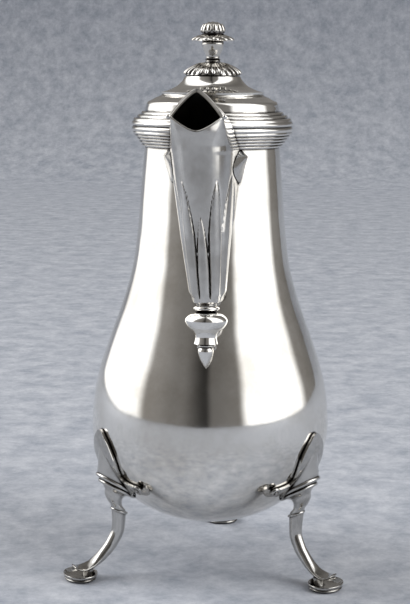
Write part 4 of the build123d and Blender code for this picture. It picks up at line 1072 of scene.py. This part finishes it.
woven, tree, shader, place = blank("grey_cloth")
shader["Roughness"].default_value = 0.95
shader["Specular IOR Level"].default_value = 0.1
blotches = node(tree, "TexNoise", Vector=place, Scale=42, Detail=15, Roughness=0.8, Distortion=0.15)
tones = two_tones(tree, blotches.outputs["Fac"], 0.36, (0.34, 0.37, 0.43), 0.64, (0.62, 0.64, 0.69))
tree.links.new(tones, shader["Base Color"])
cloth.data.materials.append(woven)
print("cloth:", len(cloth.data.polygons), "faces")

# %% The room
ROOM_LIGHT = 1.45
WARMTH = 0.05            # how much redder the dim parts of the room are
#         degrees round from the front (left is negative), brightness
stops = [(-180, 0.15), (-146, 0.15), (-130, 1.0), (-72, 1.0), (-60, 0.20), (-26, 0.12), (1, 0.02),
         (8, 0.10), (34, 0.13), (44, 1.0), (104, 1.0), (116, 0.16), (148, 0.10), (180, 0.15)]
world = bpy.data.worlds.new("studio")
world.use_nodes = True
scene.world = world
tree = world.node_tree
way = node(tree, "SeparateXYZ", Vector=node(tree, "TexCoord").outputs["Generated"])
front = node(tree, "Math")
front.operation = "MULTIPLY"
front.inputs[1].default_value = -1
tree.links.new(way.outputs["Y"], front.inputs[0])
angle = node(tree, "Math")
angle.operation = "ARCTAN2"
tree.links.new(way.outputs["X"], angle.inputs[0])
tree.links.new(front.outputs["Value"], angle.inputs[1])
share = node(tree, "MapRange", Value=angle.outputs["Value"], From_Min=-pi, From_Max=pi)
panels = node(tree, "ValToRGB", Fac=share.outputs["Result"])
panels.color_ramp.interpolation = "EASE"
ramp = panels.color_ramp.elements
for i, (degrees, bright) in enumerate(stops):
    stop = ramp[i] if i < 2 else ramp.new(1.0)
    stop.position = degrees / 360 + 0.5
    warm = WARMTH * (1 - bright)
    stop.color = (bright * (1 + warm), bright, bright * (1 - warm), 1)
room = tree.nodes["Background"]
room.inputs["Strength"].default_value = ROOM_LIGHT
tree.links.new(panels.outputs["Color"], room.inputs["Color"])
print("room:", len(ramp), "stops round the pot")

# %% The backdrop that only the camera sees
pale = node(tree, "Background", Color=(0.42, 0.45, 0.50, 1))
seen = node(tree, "MixShader", Fac=node(tree, "LightPath").outputs["Is Camera Ray"])
tree.links.new(room.outputs["Background"], seen.inputs[1])
tree.links.new(pale.outputs["Background"], seen.inputs[2])
tree.links.new(seen.outputs["Shader"], tree.nodes["World Output"].inputs["Surface"])
print("backdrop:", [round(c, 2) for c in pale.inputs["Color"].default_value])


# %% The lamps
def softbox(name, place, aim, size, power):
    """A rectangular lamp that looks at a point."""
    lamp = bpy.data.lights.new(name, "AREA")
    lamp.shape = "RECTANGLE"
    lamp.size, lamp.size_y = size
    lamp.energy = power
    box = bpy.data.objects.new(name, lamp)
    bpy.context.scene.collection.objects.link(box)
    box.location = place
    box.rotation_euler = (Vector(aim) - Vector(place)).to_track_quat("-Z", "Y").to_euler()
    print(f"{name}: {power} W from {place}")


BELLY = (0, 0, 0.12)
softbox("left_box", (-1.25, 0.05, 0.85), BELLY, (0.8, 1.2), 6.5)
softbox("right_box", (1.2, -0.35, 0.85), BELLY, (0.8, 1.2), 5.5)

# %% The camera
lens = bpy.data.cameras.new("camera")
lens.lens = 90.2
lens.clip_start = 0.01
camera = bpy.data.objects.new("camera", lens)
scene.collection.objects.link(camera)
EYE = (0.067, -0.717, 0.236)
PAN, DOWN, ROLL = 5.72, 8.93, 0.4        # degrees to the left, downwards, and about the view
camera.matrix_world = (Matrix.Translation(EYE) @ Matrix.Rotation(radians(PAN), 4, "Z")
                       @ Matrix.Rotation(radians(90 - DOWN), 4, "X")
                       @ Matrix.Rotation(radians(ROLL), 4, "Z"))
scene.camera = camera
print("camera:", EYE, "with a lens of", lens.lens, "mm")
